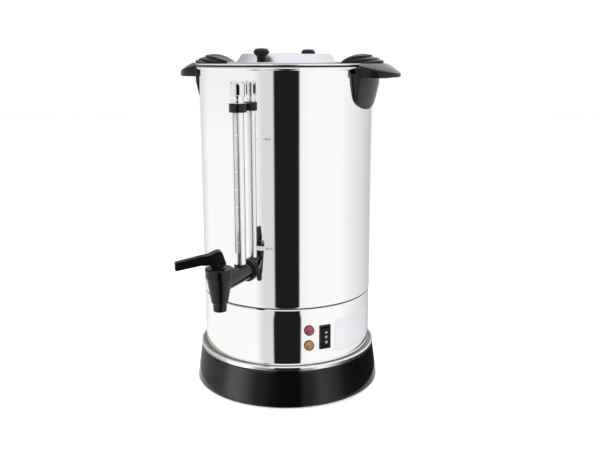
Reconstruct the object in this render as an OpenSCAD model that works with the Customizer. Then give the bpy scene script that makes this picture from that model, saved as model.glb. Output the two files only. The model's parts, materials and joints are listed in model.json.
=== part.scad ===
// Electric coffee urn: insulated steel tank, level gauge, lever tap, lid and percolator set.
// Millimetres. +Z is up, the tap points along -Y and the origin is on the tank's axis at floor level.

/* [Tank] */
// Outer radius of the polished outer shell
tank_r = 130; // [122:1:145]
// Thickness of the steel sheet of the shells, tank, lid and basket
sheet_t = 0.8; // [0.6:0.1:1.0]
// Gap between the outer shell and the inner tank
wall_gap = 10; // [9:0.5:12]
// Height of the seam between the lower shell and the outer shell
seam_z = 147; // [140:1:150]
// Height of the top of the tank's rolled rim
rim_z = 487; // [470:1:520]
// Height of the underside of the inner tank's floor
floor_z = 160; // [158:1:170]
// Radius of the bead rolled into the tank's rim
bead_r = 2.4; // [1.8:0.1:3]
// Rounding of the shells at their seam
seam_round = 3.5; // [2:0.5:5]
// Thickness of the insulation blanket
jacket_t = 5; // [3:0.5:5.5]

/* [Base] */
// Height of the black base
base_h = 56; // [50:0.5:64]
// How far the widest part of the base stands outside the tank
base_flare = 13.6; // [11:0.2:18]
// How far the top edge of the base stands outside the tank
base_step = 6.2; // [5.5:0.1:8]
// Wall thickness of the base
base_wall = 4; // [3.5:0.1:5]
// Rounding of the bottom edge of the base
base_round = 3; // [1.5:0.1:3.2]
// Height of the bottom edge of the base above the floor
base_lift = 1.5; // [1:0.1:2.5]
// Height of the rubber feet
foot_h = 5; // [4.5:0.1:6]
// Radius of a rubber foot
foot_r = 12; // [8:0.5:16]
// Distance of the feet from the axis
foot_place = 105; // [95:1:110]
// Thickness of the bottom plate
bottom_t = 1.2; // [0.8:0.1:2]
// Height of the polished ring on the base
trim_h = 6.2; // [4:0.1:8]
// Thickness of the polished ring on the base
trim_t = 3.6; // [3.2:0.1:4]
// Radius of the bore of the mains cord gland
gland_bore_r = 3.75; // [3:0.05:4.5]
// Height of the mains cord gland
gland_z = 84; // [80:1:110]

/* [Controls] */
// Angle from the tap to the signal lamps
lamp_angle = 39.6; // [34:0.1:40]
// Height of the red lamp
red_z = 114; // [110:0.5:124]
// Height of the amber lamp
amber_z = 91; // [84:0.5:95]
// Radius of a lamp bezel
lamp_r = 7.8; // [7:0.1:8.4]
// Angle from the tap to the switch
switch_angle = 50.5; // [50:0.1:52]
// Height of the switch's middle
switch_z = 101.4; // [95:0.2:110]
// Width of the switch frame
switch_w = 17.4; // [16:0.1:19]
// Height of the switch frame
switch_h = 36.2; // [33:0.1:40]
// Angle from the tap to the middle of the blank rating plate
plate_angle = 75.5; // [75:0.5:90]
// Angle that the rating plate spans
plate_span = 35; // [20:1:36]
// Height of the rating plate's lower edge
plate_z = 76; // [70:1:85]
// Height of the rating plate
plate_h = 49; // [30:1:52]

/* [Lid and deck] */
// Radius of the filling opening in the deck
opening_r = 86; // [84:0.5:90]
// Thickness of the gasket under the deck
gasket_t = 2; // [1:0.1:3]
// Radius of the deck's rolled edge bead
deck_bead_r = 1.2; // [0.8:0.1:1.6]
// How far the lid's flange covers the deck
lid_overlap = 3; // [2.5:0.1:3.2]
// Radius of the foot of the lid's raised middle
plateau_r = 74; // [71:0.5:74.5]
// Height of the lid's raised middle above its flange
plateau_h = 12.3; // [8:0.1:18]
// How far the raised middle's side leans in
plateau_lean = 7; // [3:0.5:12]
// Distance of the lid knobs from the axis
knob_place = 81; // [80.7:0.1:81.5]
// Radius of a knob's cap
knob_r = 11.3; // [9:0.1:13]
// Radius of a knob's neck
knob_neck_r = 6.2; // [5:0.1:6.5]
// Height of a knob
knob_h = 20.2; // [16:0.1:26]
// Depth of the skirt under the lid
skirt_h = 11; // [8:0.5:14]
// Width of a lid locking tongue
tongue_w = 16; // [10:0.5:20]

/* [Handles] */
// Angle from the tap to each handle
handle_angle = 88.5; // [84:0.5:95]
// How far a handle reaches outside the tank
wing_reach = 48; // [44:0.5:54]
// Width of a handle's wing
wing_w = 76; // [70:1:82]
// Depth of the wing's underside below the tank's rim
wing_drop = 16; // [15:0.5:19]
// Radius of the wing's round top
wing_crown_r = 75; // [70:0.5:80]
// Depth of a handle's shield below the tank's rim
shield_drop = 61; // [54:1:70]
// Width of a handle's shield at the tank
shield_w = 86; // [82:1:92]
// Thickness of a handle's shield
shield_t = 9.5; // [9:0.5:12]
// Width of a handle cap
cap_w = 46; // [42:1:50]
// How far a handle cap reaches outside the tank
cap_reach = 23; // [20:0.5:25]
// Height of the top leaf of a handle cap
cap_dome_h = 13.3; // [12:0.1:15]
// Height from one leaf of a handle cap to the next
cap_step = 3.4; // [3:0.1:4]

/* [Level gauge] */
// Distance from the tank to the gauge's axis
gauge_out = 22; // [20:0.5:26]
// Outer radius of the polished guard tube
guard_r = 8.35; // [8:0.05:9]
// Wall of the guard tube
guard_wall = 1; // [0.7:0.05:1.2]
// Width of the guard tube's slot
slot_w = 6.9; // [5:0.1:7.5]
// Outer radius of the glass tube
glass_r = 5.5; // [5:0.1:5.8]
// Wall of the glass tube
glass_wall = 1.4; // [1:0.1:1.8]
// Distance from the tank's rim down to the underside of the gauge bracket
bracket_drop = 59.5; // [45:0.5:90]
// Height of the gauge bracket
bracket_h = 12; // [9:0.5:14]
// Outer radius of the gauge bracket's ring
bracket_r = 12; // [11:0.1:13.5]
// Length of the collar that shows between the bracket and the gauge cap
collar_show = 7.5; // [6:0.5:12]
// Outer radius of the gauge cap
gauge_cap_r = 10.2; // [10:0.1:12]
// Height of the gauge cap
gauge_cap_h = 20; // [18:0.5:26]

/* [Tap] */
// Distance from the tank to the tap barrel's axis
tap_out = 80; // [74:1:90]
// Height of the tap shank's axis
tap_z = 203; // [198:0.5:215]
// Radius of the tap's shank
shank_r = 12.5; // [11:0.1:13]
// Radius of the flow passage through the shank
flow_r = 6; // [5:0.1:6.5]
// Radius of the threaded shank through the tank wall
thread_r = 9; // [8.5:0.1:10]
// Radius of the tap's bonnet
bonnet_r = 19; // [18:0.1:20.5]
// Height of the tap's bonnet
bonnet_h = 13; // [11:0.5:15]
// Radius of the barrel at its lower shoulder
shoulder_r = 11.2; // [11:0.1:13]
// Radius of the spout
spout_r = 9; // [8:0.1:10]
// Height of the spout below the shoulder
spout_h = 12; // [8:0.5:16]
// Radius of the tap's stem
stem_r = 2.5; // [2:0.1:3]
// Radius of the lever's pin
pin_r = 1.5; // [1.2:0.1:1.8]
// Length of the lever from the stem's axis to its tip
lever_len = 58.5; // [50:0.5:65]
// Direction of the lever at rest, in degrees from the tap's forward direction
lever_turn = 51; // [30:1:70]
// Height of the lever's pin above the lever's underside
pin_h = 5; // [4.5:0.1:6]
// Lift of the stem when the lever is fully raised
stem_lift = 3.5; // [2.5:0.1:4]
// Angle that the lever rises
lever_rise = 80; // [60:1:85]

/* [Percolator] */
// Outer radius of the percolator tube
tube_r = 5; // [4.5:0.1:6]
// Wall of the percolator tube
tube_wall = 1; // [0.6:0.1:1.2]
// Radius of the coffee basket
basket_r = 68; // [55:0.5:70]
// Height of the coffee basket's floor below the tank's rim
basket_drop = 77; // [70:1:120]
// Height of the coffee basket
basket_h = 52; // [35:1:54]

/* [Heater] */
// Radius of the heat plate
heat_plate_r = 78; // [76:1:84]
// Thickness of the heat plate
heat_plate_t = 4; // [3:0.1:5]
// Distance of the heating element from the axis
element_place = 58; // [54:0.5:60]
// Radius of the heating element's tube
element_r = 4.5; // [3.5:0.1:5]
// Distance of the tie rods from the axis
rod_place = 70; // [69:0.5:71]
// Radius of a tie rod
rod_r = 3; // [2.5:0.1:3.5]

/* [Fits] */
// Gap between pieces that move past each other
move_gap = 0.3; // [0.2:0.05:0.5]
// Radial clearance of a pin in its bore
pin_fit = 0.05; // [0.03:0.01:0.08]
// Radial clearance of a sliding or screwed piece
slide_fit = 0.08; // [0.05:0.01:0.1]
// Clearance of a fixed piece in its hole
hole_fit = 0.15; // [0.1:0.05:0.3]

/* [Hidden] */
$fn = 96;
eps = 0.01;
arc_steps = 8;

// Colours
steel = "#d9dadb";
black = "#1b1b1d";
rubber = "#2a2a2a";
zinc = "#b9bcc0";
silicone = "#c9c4bb";

// Levels and radii of the shells
lower_inset = 0.5;
lower_r = tank_r - lower_inset;
inner_r = tank_r - sheet_t - wall_gap;
flange_r = inner_r + 2;
shell_inner_r = tank_r - sheet_t;
seam_lip_r = inner_r + 1.5;
bead_place_r = tank_r + 2;
bead_z = rim_z - bead_r;
shell_top_z = bead_z - bead_r + 0.9;
jacket_inner_r = inner_r + move_gap;
jacket_end_gap = 6;
tank_corner_r = 6;

// Levels and radii of the base
base_r = tank_r + base_flare;
base_top_r = tank_r + base_step;
groove_depth = 1.5;
shelf_z = base_h - groove_depth;
groove_r = base_top_r - 3;
ledge_r = tank_r - 12;
lower_lip_r = ledge_r + 4;
lower_round = 1;
plate_top_z = foot_h + bottom_t;
bottom_plate_r = base_r - base_wall - 0.6;
boss_place = tank_r - 4;
boss_r = 5;
boss_count = 4;
boss_bore_h = 14;
bottom_screw_len = 12;
gland_r = 8;
wall_clear = 0.1;
wall_cut = 20;
screw_r = 2;
screw_hole_r = screw_r + slide_fit;
screw_head_r = 3.5;
screw_head_h = 2.4;
nut_h = 3.5;
nut_r = 5.6;
rod_count = 3;
rod_hole_r = rod_r + slide_fit;
rod_foot_z = 1;

// Controls
lamp_sleeve_r = lamp_r - 1.4;
lens_r = lamp_r - 1.2;
lens_back = 0.8;
bezel_t = 2.2;
sleeve_h = 6;
lamp_body_depth = 24;
blade_t = 0.8;
blade_h = 6;
frame_t = 1.8;
frame_border = 2.2;
switch_body_depth = 22;
switch_cavity_depth = 11;
cavity_w = switch_w - 2 * frame_border;
cavity_h = switch_h - 2 * frame_border;
switch_body_w = cavity_w + 2;
switch_body_h = cavity_h + 2;
rocker_w = cavity_w - 2 * move_gap;
rocker_half = cavity_h / 2 - 1.2;
rocker_pin_r = 1.2;
rocker_pin_s = lower_r - 2;
plate_t = 0.3;
plate_back_r = lower_r + 0.02;

// Deck and lid
gasket_top_z = rim_z + gasket_t;
deck_z = gasket_top_z + sheet_t;
deck_edge_r = tank_r + 4.9;
deck_top_z = gasket_top_z - 0.2 + 2 * deck_bead_r;
seal_h = 1.2;
lid_r = opening_r + lid_overlap;
lid_seat_gap = 0.2;
lid_z = deck_z + 2 * lid_seat_gap + seal_h;
lid_top_z = lid_z + sheet_t;
skirt_r = plateau_r + 1;
tongue_t = 1.5;
tongue_r = lid_r - 0.8;
tongue_z = gasket_top_z - 0.4 - tongue_t;
notch_gap = 0.6;
knob_screw_len = 9;

// Handles
cap_tip_r = lid_r + 1;
cap_end_r = tank_r + cap_reach;
cap_half = cap_w / 2;
cap_z = deck_top_z + 0.05;
wing_z = rim_z - wing_drop;
wing_r = tank_r + wing_reach;
wing_half = wing_w / 2;
wing_root = 6;
shield_z = rim_z - shield_drop;
shield_toe_t = 1.5;
shield_taper = 5;
shield_gap = 0.05;
handle_screw_spread = 8;
handle_screw_z = wing_z - 9;
wall_screw_len = 7.5;
wall_screw_r = shell_inner_r - 0.15;

// Level gauge
gauge_y = tank_r + gauge_out;
socket_r = guard_r + 0.4;
socket_z = tap_z + 14.5;
bracket_z = rim_z - bracket_drop;
glass_seat_z = tap_z + 5;
guard_top_z = bracket_z + bracket_h + 1;
collar_r = guard_r - 0.2;
gauge_cap_z = guard_top_z + collar_show;
collar_top_z = gauge_cap_z + 4;
gauge_seal_h = 4;
glass_top_z = collar_top_z + gauge_seal_h;
gauge_bore_top_z = glass_top_z + 1;
bracket_screw_z = bracket_z + bracket_h / 2;
arm_half = 6;

// Tap
tap_y = tank_r + tap_out;
bonnet_z = tap_z + 10;
bonnet_top_z = bonnet_z + bonnet_h;
bonnet_lid_t = 4;
neck_r = bonnet_r - 3;
neck_top_z = bonnet_top_z - bonnet_lid_t - 0.5;
shoulder_z = tap_z - 25;
spout_z = shoulder_z - spout_h;
spout_edge = 0.6;
chamber_r = 10.5;
seat_z = tap_z - 18;
outlet_r = 5;
wall_flange_r = 16;
wall_flange_t = 4;
tap_seal_t = 1.5;
wall_flange_y = tank_r + tap_seal_t;
inner_seat_y = sqrt(pow(inner_r - sheet_t, 2) - pow(wall_flange_r, 2));
tap_nut_t = 8;
shank_end_y = inner_seat_y - tap_seal_t - tap_nut_t - 4;
cup_r = 7.5;
cup_h = 8;
cup_z = seat_z + move_gap;
washer_t = 1;
washer_r = 9;
washer_z = bonnet_top_z + 0.2;
lever_z = washer_z + washer_t + move_gap;
pin_z = lever_z + pin_h;
cam_rate = stem_lift / (lever_rise * PI / 180);
lever_w = 15;
lever_tip_w = 11;
stem_head_h = 3.5;
stem_top_z = pin_z + stem_head_h;
stem_collar_r = stem_r + 1.5;
stem_collar_h = 2;
cup_web = 3;
spring_r = 4.2;
spring_wire_r = 0.5;
spring_turns = 7;
spring_sides = 5;
spring_turn_steps = 12;
spring_steps = spring_turns * spring_turn_steps;
spring_z0 = cup_z + cup_h + spring_wire_r + wall_clear;
spring_z1 = bonnet_top_z - bonnet_lid_t - spring_wire_r - wall_clear;

// Percolator
basket_z = rim_z - basket_drop;
basket_hub_r = tube_r + 0.15;
basket_rows = [[basket_r * 0.35, 8], [basket_r * 0.75, 16]];
tube_top_z = rim_z - 4;
tube_foot_r = 28;
tube_collar_r = 9;
tube_collar_h = 4;
tank_floor_z = floor_z + sheet_t;

// Heater
heat_plate_z = floor_z - heat_plate_t;
element_z = heat_plate_z - element_r;
shield_pan_z = seam_z - 9;
shield_pan_r = 104;
shield_pan_h = 8;

function arc(c, r, from, to) =
    [for (i = [0:arc_steps]) let (a = from + (to - from) * i / arc_steps) c + r * [cos(a), sin(a)]];
function unit(v) = v / norm(v);
function left_normal(p, q) = let (d = unit(q - p)) [-d[1], d[0]];
function reversed(v) = [for (i = [len(v) - 1:-1:0]) v[i]];
function shifted(path, t) = [
    for (i = [0:len(path) - 1])
        let (
            last = len(path) - 1,
            a = i == 0 ? left_normal(path[0], path[1]) : left_normal(path[i - 1], path[i]),
            b = i == last ? a : left_normal(path[i], path[i + 1]),
            m = unit(a + b)
        )
        path[i] + m * t / (m * a)
];

// Cross-section of a sheet whose thickness lies to the left of its path
module sheet(path, t = sheet_t) polygon(concat(path, reversed(shifted(path, t))));

// Rectangle between two radii and two heights
module band(r0, r1, z0, z1) translate([r0, z0]) square([r1 - r0, z1 - z0]);

// Ring with a rectangular section
module ring(r0, r1, z0, z1) rotate_extrude() band(r0, r1, z0, z1);

// Turns what is built at the tap's side to an angle from the tap
module turned(angle) rotate([0, 0, angle]) children();

// Places what is built along +Z so that it points outward from the tank at the tap's side
module outward(r, z) translate([0, -r, z]) rotate([90, 0, 0]) children();

// Screw whose head stands below the origin and whose shank runs up from it
module screw(length, r = screw_r, head_r = screw_head_r, head_h = screw_head_h) {
    slot_w = 0.9;
    slot_depth = 0.8;
    cylinder(r = r, h = length);
    difference() {
        translate([0, 0, -head_h]) cylinder(r1 = head_r - 0.6, r2 = head_r, h = head_h);
        translate([-head_r, -slot_w / 2, -head_h - eps]) cube([2 * head_r, slot_w, slot_depth + eps]);
    }
}

module hex_nut(r, bore_r, h) difference() {
    cylinder(r = r, h = h, $fn = 6);
    translate([0, 0, -eps]) cylinder(r = bore_r, h = h + 2 * eps);
}

// Repeats what is built at the axis at each screw boss of the base
module at_bosses() for (i = [1:boss_count]) turned(i * 360 / boss_count) translate([0, -boss_place, 0])
    children();

// Repeats what is built at the axis at each tie rod
module at_rods() for (i = [1:rod_count]) turned(180 + i * 360 / rod_count) translate([0, -rod_place, 0])
    children();

// Racetrack outline along Y between two round ends
module racetrack(y0, y1, r) {
    for (y = [y0 + r, y1 - r]) translate([0, y]) circle(r);
    translate([-r, y0 + r]) square([2 * r, y1 - y0 - 2 * r]);
}

module base_shell() color(black) {
    rotate_extrude() polygon(concat(
        [[base_r - base_wall, base_lift]],
        arc([base_r - base_round, base_lift + base_round], base_round, -90, 0),
        [
            [base_top_r, base_h], [groove_r, base_h], [groove_r, shelf_z], [ledge_r, shelf_z],
            [ledge_r, shelf_z - base_wall], [base_top_r - base_wall, shelf_z - base_wall],
            [base_r - base_wall, base_lift + base_round]
        ]
    ));
    at_bosses() translate([0, 0, plate_top_z]) difference() {
        cylinder(r = boss_r, h = shelf_z - base_wall - plate_top_z + eps);
        translate([0, 0, -eps]) cylinder(r = screw_hole_r, h = boss_bore_h);
    }
}

module base_trim_ring() color(steel) {
    crown_r = trim_t / 2;
    rotate_extrude() {
        band(groove_r, groove_r + trim_t, base_h, base_h + trim_h - crown_r);
        translate([groove_r + crown_r, base_h + trim_h - crown_r]) circle(crown_r);
    }
}

module bottom_plate() color(zinc) translate([0, 0, foot_h]) difference() {
    cylinder(r = bottom_plate_r, h = bottom_t);
    at_bosses() translate([0, 0, -eps]) cylinder(r = screw_hole_r, h = bottom_t + 2 * eps);
    at_rods() translate([0, 0, -eps]) cylinder(r = rod_hole_r, h = bottom_t + 2 * eps);
}

module rubber_foot() {
    foot_taper = 1.5;
    cylinder(r1 = foot_r - foot_taper, r2 = foot_r, h = foot_h);
}

module rubber_feet() color(rubber) {
    for (i = [0:3]) turned(45 + i * 90) translate([0, -foot_place, 0]) rubber_foot();
    rubber_foot();
}

module bottom_screws() color(zinc) at_bosses() translate([0, 0, foot_h]) screw(bottom_screw_len);

module lower_shell() color(steel) difference() {
    rotate_extrude() sheet(concat(
        [[lower_lip_r, shelf_z]],
        arc([lower_r - lower_round, shelf_z + lower_round], lower_round, -90, 0),
        arc([lower_r - seam_round, seam_z - seam_round], seam_round, 0, 90),
        [[seam_lip_r, seam_z]]
    ));
    for (z = [red_z, amber_z]) turned(lamp_angle) outward(lower_r - wall_cut / 2, z)
        cylinder(r = lamp_sleeve_r + hole_fit, h = wall_cut);
    turned(switch_angle) translate([0, -lower_r, switch_z])
        cube([switch_body_w + 2 * hole_fit, wall_cut, switch_body_h + 2 * hole_fit], center = true);
    turned(180) outward(lower_r - wall_cut / 2, gland_z) cylinder(r = gland_r + hole_fit, h = wall_cut);
}

module cord_gland() color(black) turned(180) difference() {
    flange_t = 4;
    nose_h = 10;
    tail_h = 14;
    lock_nut_h = 3;
    lock_nut_back = 5;
    union() {
        outward(lower_r + wall_clear, gland_z) cylinder(r = gland_r + 4, h = flange_t);
        outward(lower_r + flange_t, gland_z) cylinder(r1 = gland_r + 1.5, r2 = gland_r - 1.5, h = nose_h);
        outward(lower_r - tail_h, gland_z) cylinder(r = gland_r, h = tail_h + flange_t);
        outward(lower_r - lock_nut_back, gland_z) cylinder(r = gland_r + 3, h = lock_nut_h, $fn = 6);
    }
    outward(lower_r - tail_h - 1, gland_z) cylinder(r = gland_bore_r, h = tail_h + flange_t + nose_h + 2);
}

module lamp_lens(z) turned(lamp_angle) outward(lower_r + lens_back, z) intersection() {
    dome_r = 9;
    dome_h = 3.4;
    cylinder(r = lens_r, h = dome_h);
    translate([0, 0, dome_h - dome_r]) sphere(r = dome_r);
}

module red_lamp_lens() color("#b3202c") lamp_lens(red_z);

module amber_lamp_lens() color("#d07a14") lamp_lens(amber_z);

module lamp_bezels() color("#3a2a22") for (z = [red_z, amber_z]) turned(lamp_angle) difference() {
    bezel_slant = 0.4;
    lamp_wire_r = 3;
    union() {
        outward(lower_r + wall_clear, z) cylinder(r1 = lamp_r, r2 = lamp_r - bezel_slant, h = bezel_t);
        outward(lower_r - sleeve_h, z) cylinder(r = lamp_sleeve_r, h = sleeve_h + 2 * wall_clear);
    }
    outward(lower_r + lens_back, z) cylinder(r = lens_r + hole_fit, h = bezel_t);
    outward(lower_r - sleeve_h - 1, z) cylinder(r = lamp_wire_r, h = sleeve_h + bezel_t);
}

module lamp_bodies() color("#e7e3da") for (z = [red_z, amber_z]) turned(lamp_angle) {
    blade_place = 2;
    blade_w = 3;
    outward(lower_r - lamp_body_depth, z) cylinder(r = lamp_sleeve_r - 0.6, h = lamp_body_depth - sleeve_h);
    for (x = [-blade_place, blade_place])
        translate([x - blade_t / 2, lamp_body_depth - lower_r, z - blade_w / 2])
            cube([blade_t, blade_h, blade_w]);
}

module switch_housing() color(black) turned(switch_angle) difference() {
    blade_pitch = 8;
    blade_w = 4.8;
    union() {
        translate([-switch_w / 2, -lower_r - frame_t, switch_z - switch_h / 2])
            cube([switch_w, frame_t - wall_clear / 2, switch_h]);
        translate([-switch_body_w / 2, -lower_r - wall_clear, switch_z - switch_body_h / 2])
            cube([switch_body_w, switch_body_depth, switch_body_h]);
        for (i = [-1:1])
            translate([0, switch_body_depth - lower_r + blade_h / 2 - 1, switch_z + i * blade_pitch])
                cube([blade_w, blade_h, blade_t], center = true);
    }
    translate([-cavity_w / 2, -lower_r - frame_t - 1, switch_z - cavity_h / 2])
        cube([cavity_w, switch_cavity_depth + frame_t + 1, cavity_h]);
    translate([-switch_w, -rocker_pin_s, switch_z]) rotate([0, 90, 0])
        cylinder(r = rocker_pin_r, h = 2 * switch_w);
}

module switch_pin() color(zinc) turned(switch_angle)
    translate([-switch_body_w / 2, -rocker_pin_s, switch_z]) rotate([0, 90, 0])
        cylinder(r = rocker_pin_r, h = switch_body_w);

module switch_rocker() color(black) turned(switch_angle) difference() {
    front = lower_r + frame_t - rocker_pin_s;
    dip = 0.3;
    rise = 1.5;
    back = 2.4;
    keel = 4;
    foot = rocker_half - 3;
    translate([-rocker_w / 2, -rocker_pin_s, switch_z]) rotate([90, 0, 90]) linear_extrude(rocker_w)
        polygon([
            [back, -foot], [-front - rise, -rocker_half], [dip - front, 0], [-front - rise, rocker_half],
            [back, foot], [keel, 0]
        ]);
    translate([-switch_w, -rocker_pin_s, switch_z]) rotate([0, 90, 0])
        cylinder(r = rocker_pin_r + pin_fit, h = 2 * switch_w);
}

module rating_plate() color("#e8e9ee") rotate([0, 0, plate_angle - plate_span / 2 - 90])
    rotate_extrude(angle = plate_span) band(plate_back_r, plate_back_r + plate_t, plate_z, plate_z + plate_h);

module wall_screw_holes() {
    for (side = [-1, 1], spread = [-1, 1]) turned(side * handle_angle + spread * handle_screw_spread)
        outward(tank_r - wall_gap / 2, handle_screw_z) cylinder(r = screw_hole_r, h = wall_gap);
    outward(tank_r - wall_gap / 2, bracket_screw_z) cylinder(r = screw_hole_r, h = wall_gap);
}

module outer_shell() color(steel) difference() {
    rotate_extrude() sheet(concat(
        [[seam_lip_r, seam_z]],
        arc([tank_r - seam_round, seam_z + seam_round], seam_round, -90, 0),
        [[tank_r, shell_top_z]]
    ));
    wall_screw_holes();
    outward(tank_r - wall_gap / 2, tap_z) cylinder(r = thread_r + hole_fit, h = wall_gap);
}

module inner_tank() color(steel) difference() {
    rotate_extrude() {
        sheet(concat(
            [[0, floor_z]],
            arc([inner_r - tank_corner_r, floor_z + tank_corner_r], tank_corner_r, -90, 0),
            [[inner_r, rim_z - sheet_t], [bead_place_r, rim_z - sheet_t]]
        ));
        translate([bead_place_r, bead_z]) circle(bead_r);
    }
    outward(inner_r - wall_gap / 2, tap_z) cylinder(r = thread_r + hole_fit, h = wall_gap);
}

module insulation_jacket() color("#d8cf9a") difference() {
    ring(jacket_inner_r, jacket_inner_r + jacket_t, floor_z + jacket_end_gap, rim_z - jacket_end_gap);
    outward(inner_r - wall_gap, tap_z) cylinder(r = wall_flange_r + 1, h = 2 * wall_gap);
}

module deck_gasket() color(rubber) ring(flange_r, tank_r + 3.8, rim_z, gasket_top_z);

// Ways through the deck and the lid's seal for the lid's tongues
module tongue_notches() for (side = [-1, 1]) turned(side * 90)
    translate([-tongue_w / 2 - notch_gap, -tongue_r - notch_gap, gasket_top_z - 1])
        cube([tongue_w + 2 * notch_gap, wall_cut, lid_z - gasket_top_z + 1]);

module top_deck() color(steel) difference() {
    rotate_extrude() {
        sheet([[opening_r, gasket_top_z], [deck_edge_r - deck_bead_r, gasket_top_z]]);
        translate([deck_edge_r - deck_bead_r, deck_top_z - deck_bead_r]) circle(deck_bead_r);
    }
    tongue_notches();
}

module heat_plate() color("#a9acb0") translate([0, 0, heat_plate_z])
    cylinder(r = heat_plate_r, h = heat_plate_t);

module heating_element() color("#6f6a66") {
    ring_span = 320;
    leg_h = 7;
    translate([0, 0, element_z]) {
        rotate_extrude(angle = ring_span) translate([element_place, 0]) circle(element_r);
        for (a = [0, ring_span]) rotate([0, 0, a]) translate([element_place, 0, -leg_h - element_r])
            cylinder(r = element_r - 1.5, h = leg_h + element_r);
    }
}

// Round device under the heat plate with a clip flange and two blades
module clip_disc(r, h, blade_place) {
    flange_t = 1;
    flange_w = 3;
    blade_w = 4.8;
    translate([0, 0, heat_plate_z - h]) cylinder(r = r, h = h);
    translate([0, 0, heat_plate_z - flange_t]) cylinder(r = r + flange_w, h = flange_t);
    for (x = [-blade_place, blade_place])
        translate([x - blade_t / 2, -blade_w / 2, heat_plate_z - h - blade_h])
            cube([blade_t, blade_w, blade_h + flange_t]);
}

module thermostat() color("#8d5a3a") clip_disc(9, 7, 4);

module thermal_cutout() color("#e6ddc8") translate([0, -element_place / 2, 0]) clip_disc(7, 9, 3);

module heat_shield() color(zinc) difference() {
    rim_round = 3;
    rotate_extrude() sheet(concat(
        [[0, shield_pan_z]],
        arc([shield_pan_r - rim_round, shield_pan_z + rim_round], rim_round, -90, 0),
        [[shield_pan_r, shield_pan_z + shield_pan_h]]
    ));
    at_rods() translate([0, 0, shield_pan_z - 1]) cylinder(r = rod_hole_r, h = sheet_t + 2);
}

module tie_rods() color(zinc) at_rods() translate([0, 0, rod_foot_z])
    cylinder(r = rod_r, h = heat_plate_z - rod_foot_z);

module tie_nuts() color(zinc) for (z = [foot_h - nut_h, shield_pan_z - nut_h])
    at_rods() translate([0, 0, z]) hex_nut(nut_r, rod_hole_r, nut_h);

module terminal_block() color("#ece8df") translate([0, rod_place + 8, plate_top_z]) difference() {
    block = [50, 18, 16];
    pitch = 15;
    well_r = 3;
    well_z = 6;
    translate([-block[0] / 2, 0, 0]) cube(block);
    for (i = [-1:1]) translate([i * pitch, block[1] / 2, well_z]) cylinder(r = well_r, h = block[2]);
}

// Outline of a handle's shield, seen from outside: a wide arc between two tighter corners
module shield_outline() {
    corner_r = 18;
    toe_r = 62;
    side = shield_w / 2 - shield_taper - corner_r;
    toe_z = shield_z + toe_r;
    spread = asin(side / (toe_r - corner_r));
    corner_z = toe_z - (toe_r - corner_r) * cos(spread);
    top = rim_z - 2;
    lean = atan(shield_taper / (top - corner_z));
    polygon(concat(
        [[-shield_w / 2, top]],
        arc([-side, corner_z], corner_r, 180 + lean, 270 - spread),
        arc([0, toe_z], toe_r, 270 - spread, 270 + spread),
        arc([side, corner_z], corner_r, 270 + spread, 360 - lean),
        [[shield_w / 2, top]]
    ));
}

// Shield of a handle, thinner towards its toe
module handle_shield() intersection() {
    full_z = wing_z - 8;
    rotate_extrude() polygon([
        [tank_r, shield_z - 1], [tank_r + shield_toe_t, shield_z - 1], [tank_r + shield_t, full_z],
        [tank_r + shield_t, rim_z], [tank_r, rim_z]
    ]);
    rotate([90, 0, 0]) linear_extrude(2 * tank_r) shield_outline();
}

// Wing of a handle: a round top, an underside that rises to the tip and a shallow pocket for the fingers
module handle_wing() {
    crest_r = tank_r - 4;
    crest_z = rim_z + 11;
    rise_place = tank_r + 36;
    rise_slope = 8;
    rise_cut = 20;
    pocket_wall = 7;
    pocket_depth = 4;
    difference() {
        intersection() {
            translate([0, 0, wing_z]) linear_extrude(cap_z - wing_z)
                racetrack(-wing_r, wing_half + wing_root - tank_r, wing_half);
            translate([0, -crest_r, crest_z - wing_crown_r]) sphere(r = wing_crown_r);
        }
        translate([0, -rise_place, wing_z]) rotate([-rise_slope, 0, 0])
            translate([-wing_w, -2 * wing_reach, -rise_cut]) cube([2 * wing_w, 2 * wing_reach, rise_cut]);
        translate([0, 0, wing_z - eps]) linear_extrude(pocket_depth) difference() {
            racetrack(pocket_wall - wing_r, wing_half - tank_r, wing_half - pocket_wall);
            circle(tank_r + shield_t + pocket_wall);
        }
    }
}

module handle(side) color(black) turned(side * handle_angle) difference() {
    union() {
        handle_shield();
        handle_wing();
    }
    cylinder(r = tank_r + shield_gap, h = 2 * rim_z);
    translate([0, 0, bead_z - 3 * bead_r]) cylinder(r = deck_edge_r + hole_fit, h = rim_z);
    for (spread = [-1, 1]) turned(spread * handle_screw_spread) outward(tank_r - 1, handle_screw_z)
        cylinder(r = screw_hole_r, h = wall_screw_len + 1);
}

module left_handle() handle(-1);

module right_handle() handle(1);

// One leaf of a handle cap: a round top that stops at an upright outer end
module cap_leaf(level, outer_r, half_w) {
    leaf_r = 50;
    crest_r = tank_r - 7 + 7 * level;
    tip_r = cap_tip_r + 4 * level;
    intersection() {
        translate([0, 0, cap_z]) linear_extrude(cap_dome_h) racetrack(-outer_r, -tip_r, half_w);
        translate([0, -crest_r, cap_z + cap_dome_h - level * cap_step - leaf_r]) sphere(r = leaf_r);
    }
}

// Cap of three leaves, each lower and farther out than the one on it, on a pad that stands on the deck
module handle_cap(side) color(black) turned(side * handle_angle) {
    leaf_in = 2.5;
    leaf_back = [17, 6, 0];
    pad_in = 5;
    dome_end_r = cap_end_r - leaf_back[0];
    dome_half = cap_half - 2 * leaf_in;
    for (level = [0:2]) cap_leaf(level, cap_end_r - leaf_back[level], dome_half + level * leaf_in);
    intersection() {
        translate([0, 0, deck_z]) linear_extrude(cap_z - deck_z + 1)
            racetrack(pad_in - dome_end_r, -cap_tip_r - pad_in, dome_half - pad_in);
        cylinder(r = deck_edge_r - 2 * deck_bead_r - move_gap, h = 2 * rim_z);
    }
}

module left_handle_cap() handle_cap(-1);

module right_handle_cap() handle_cap(1);

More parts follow.
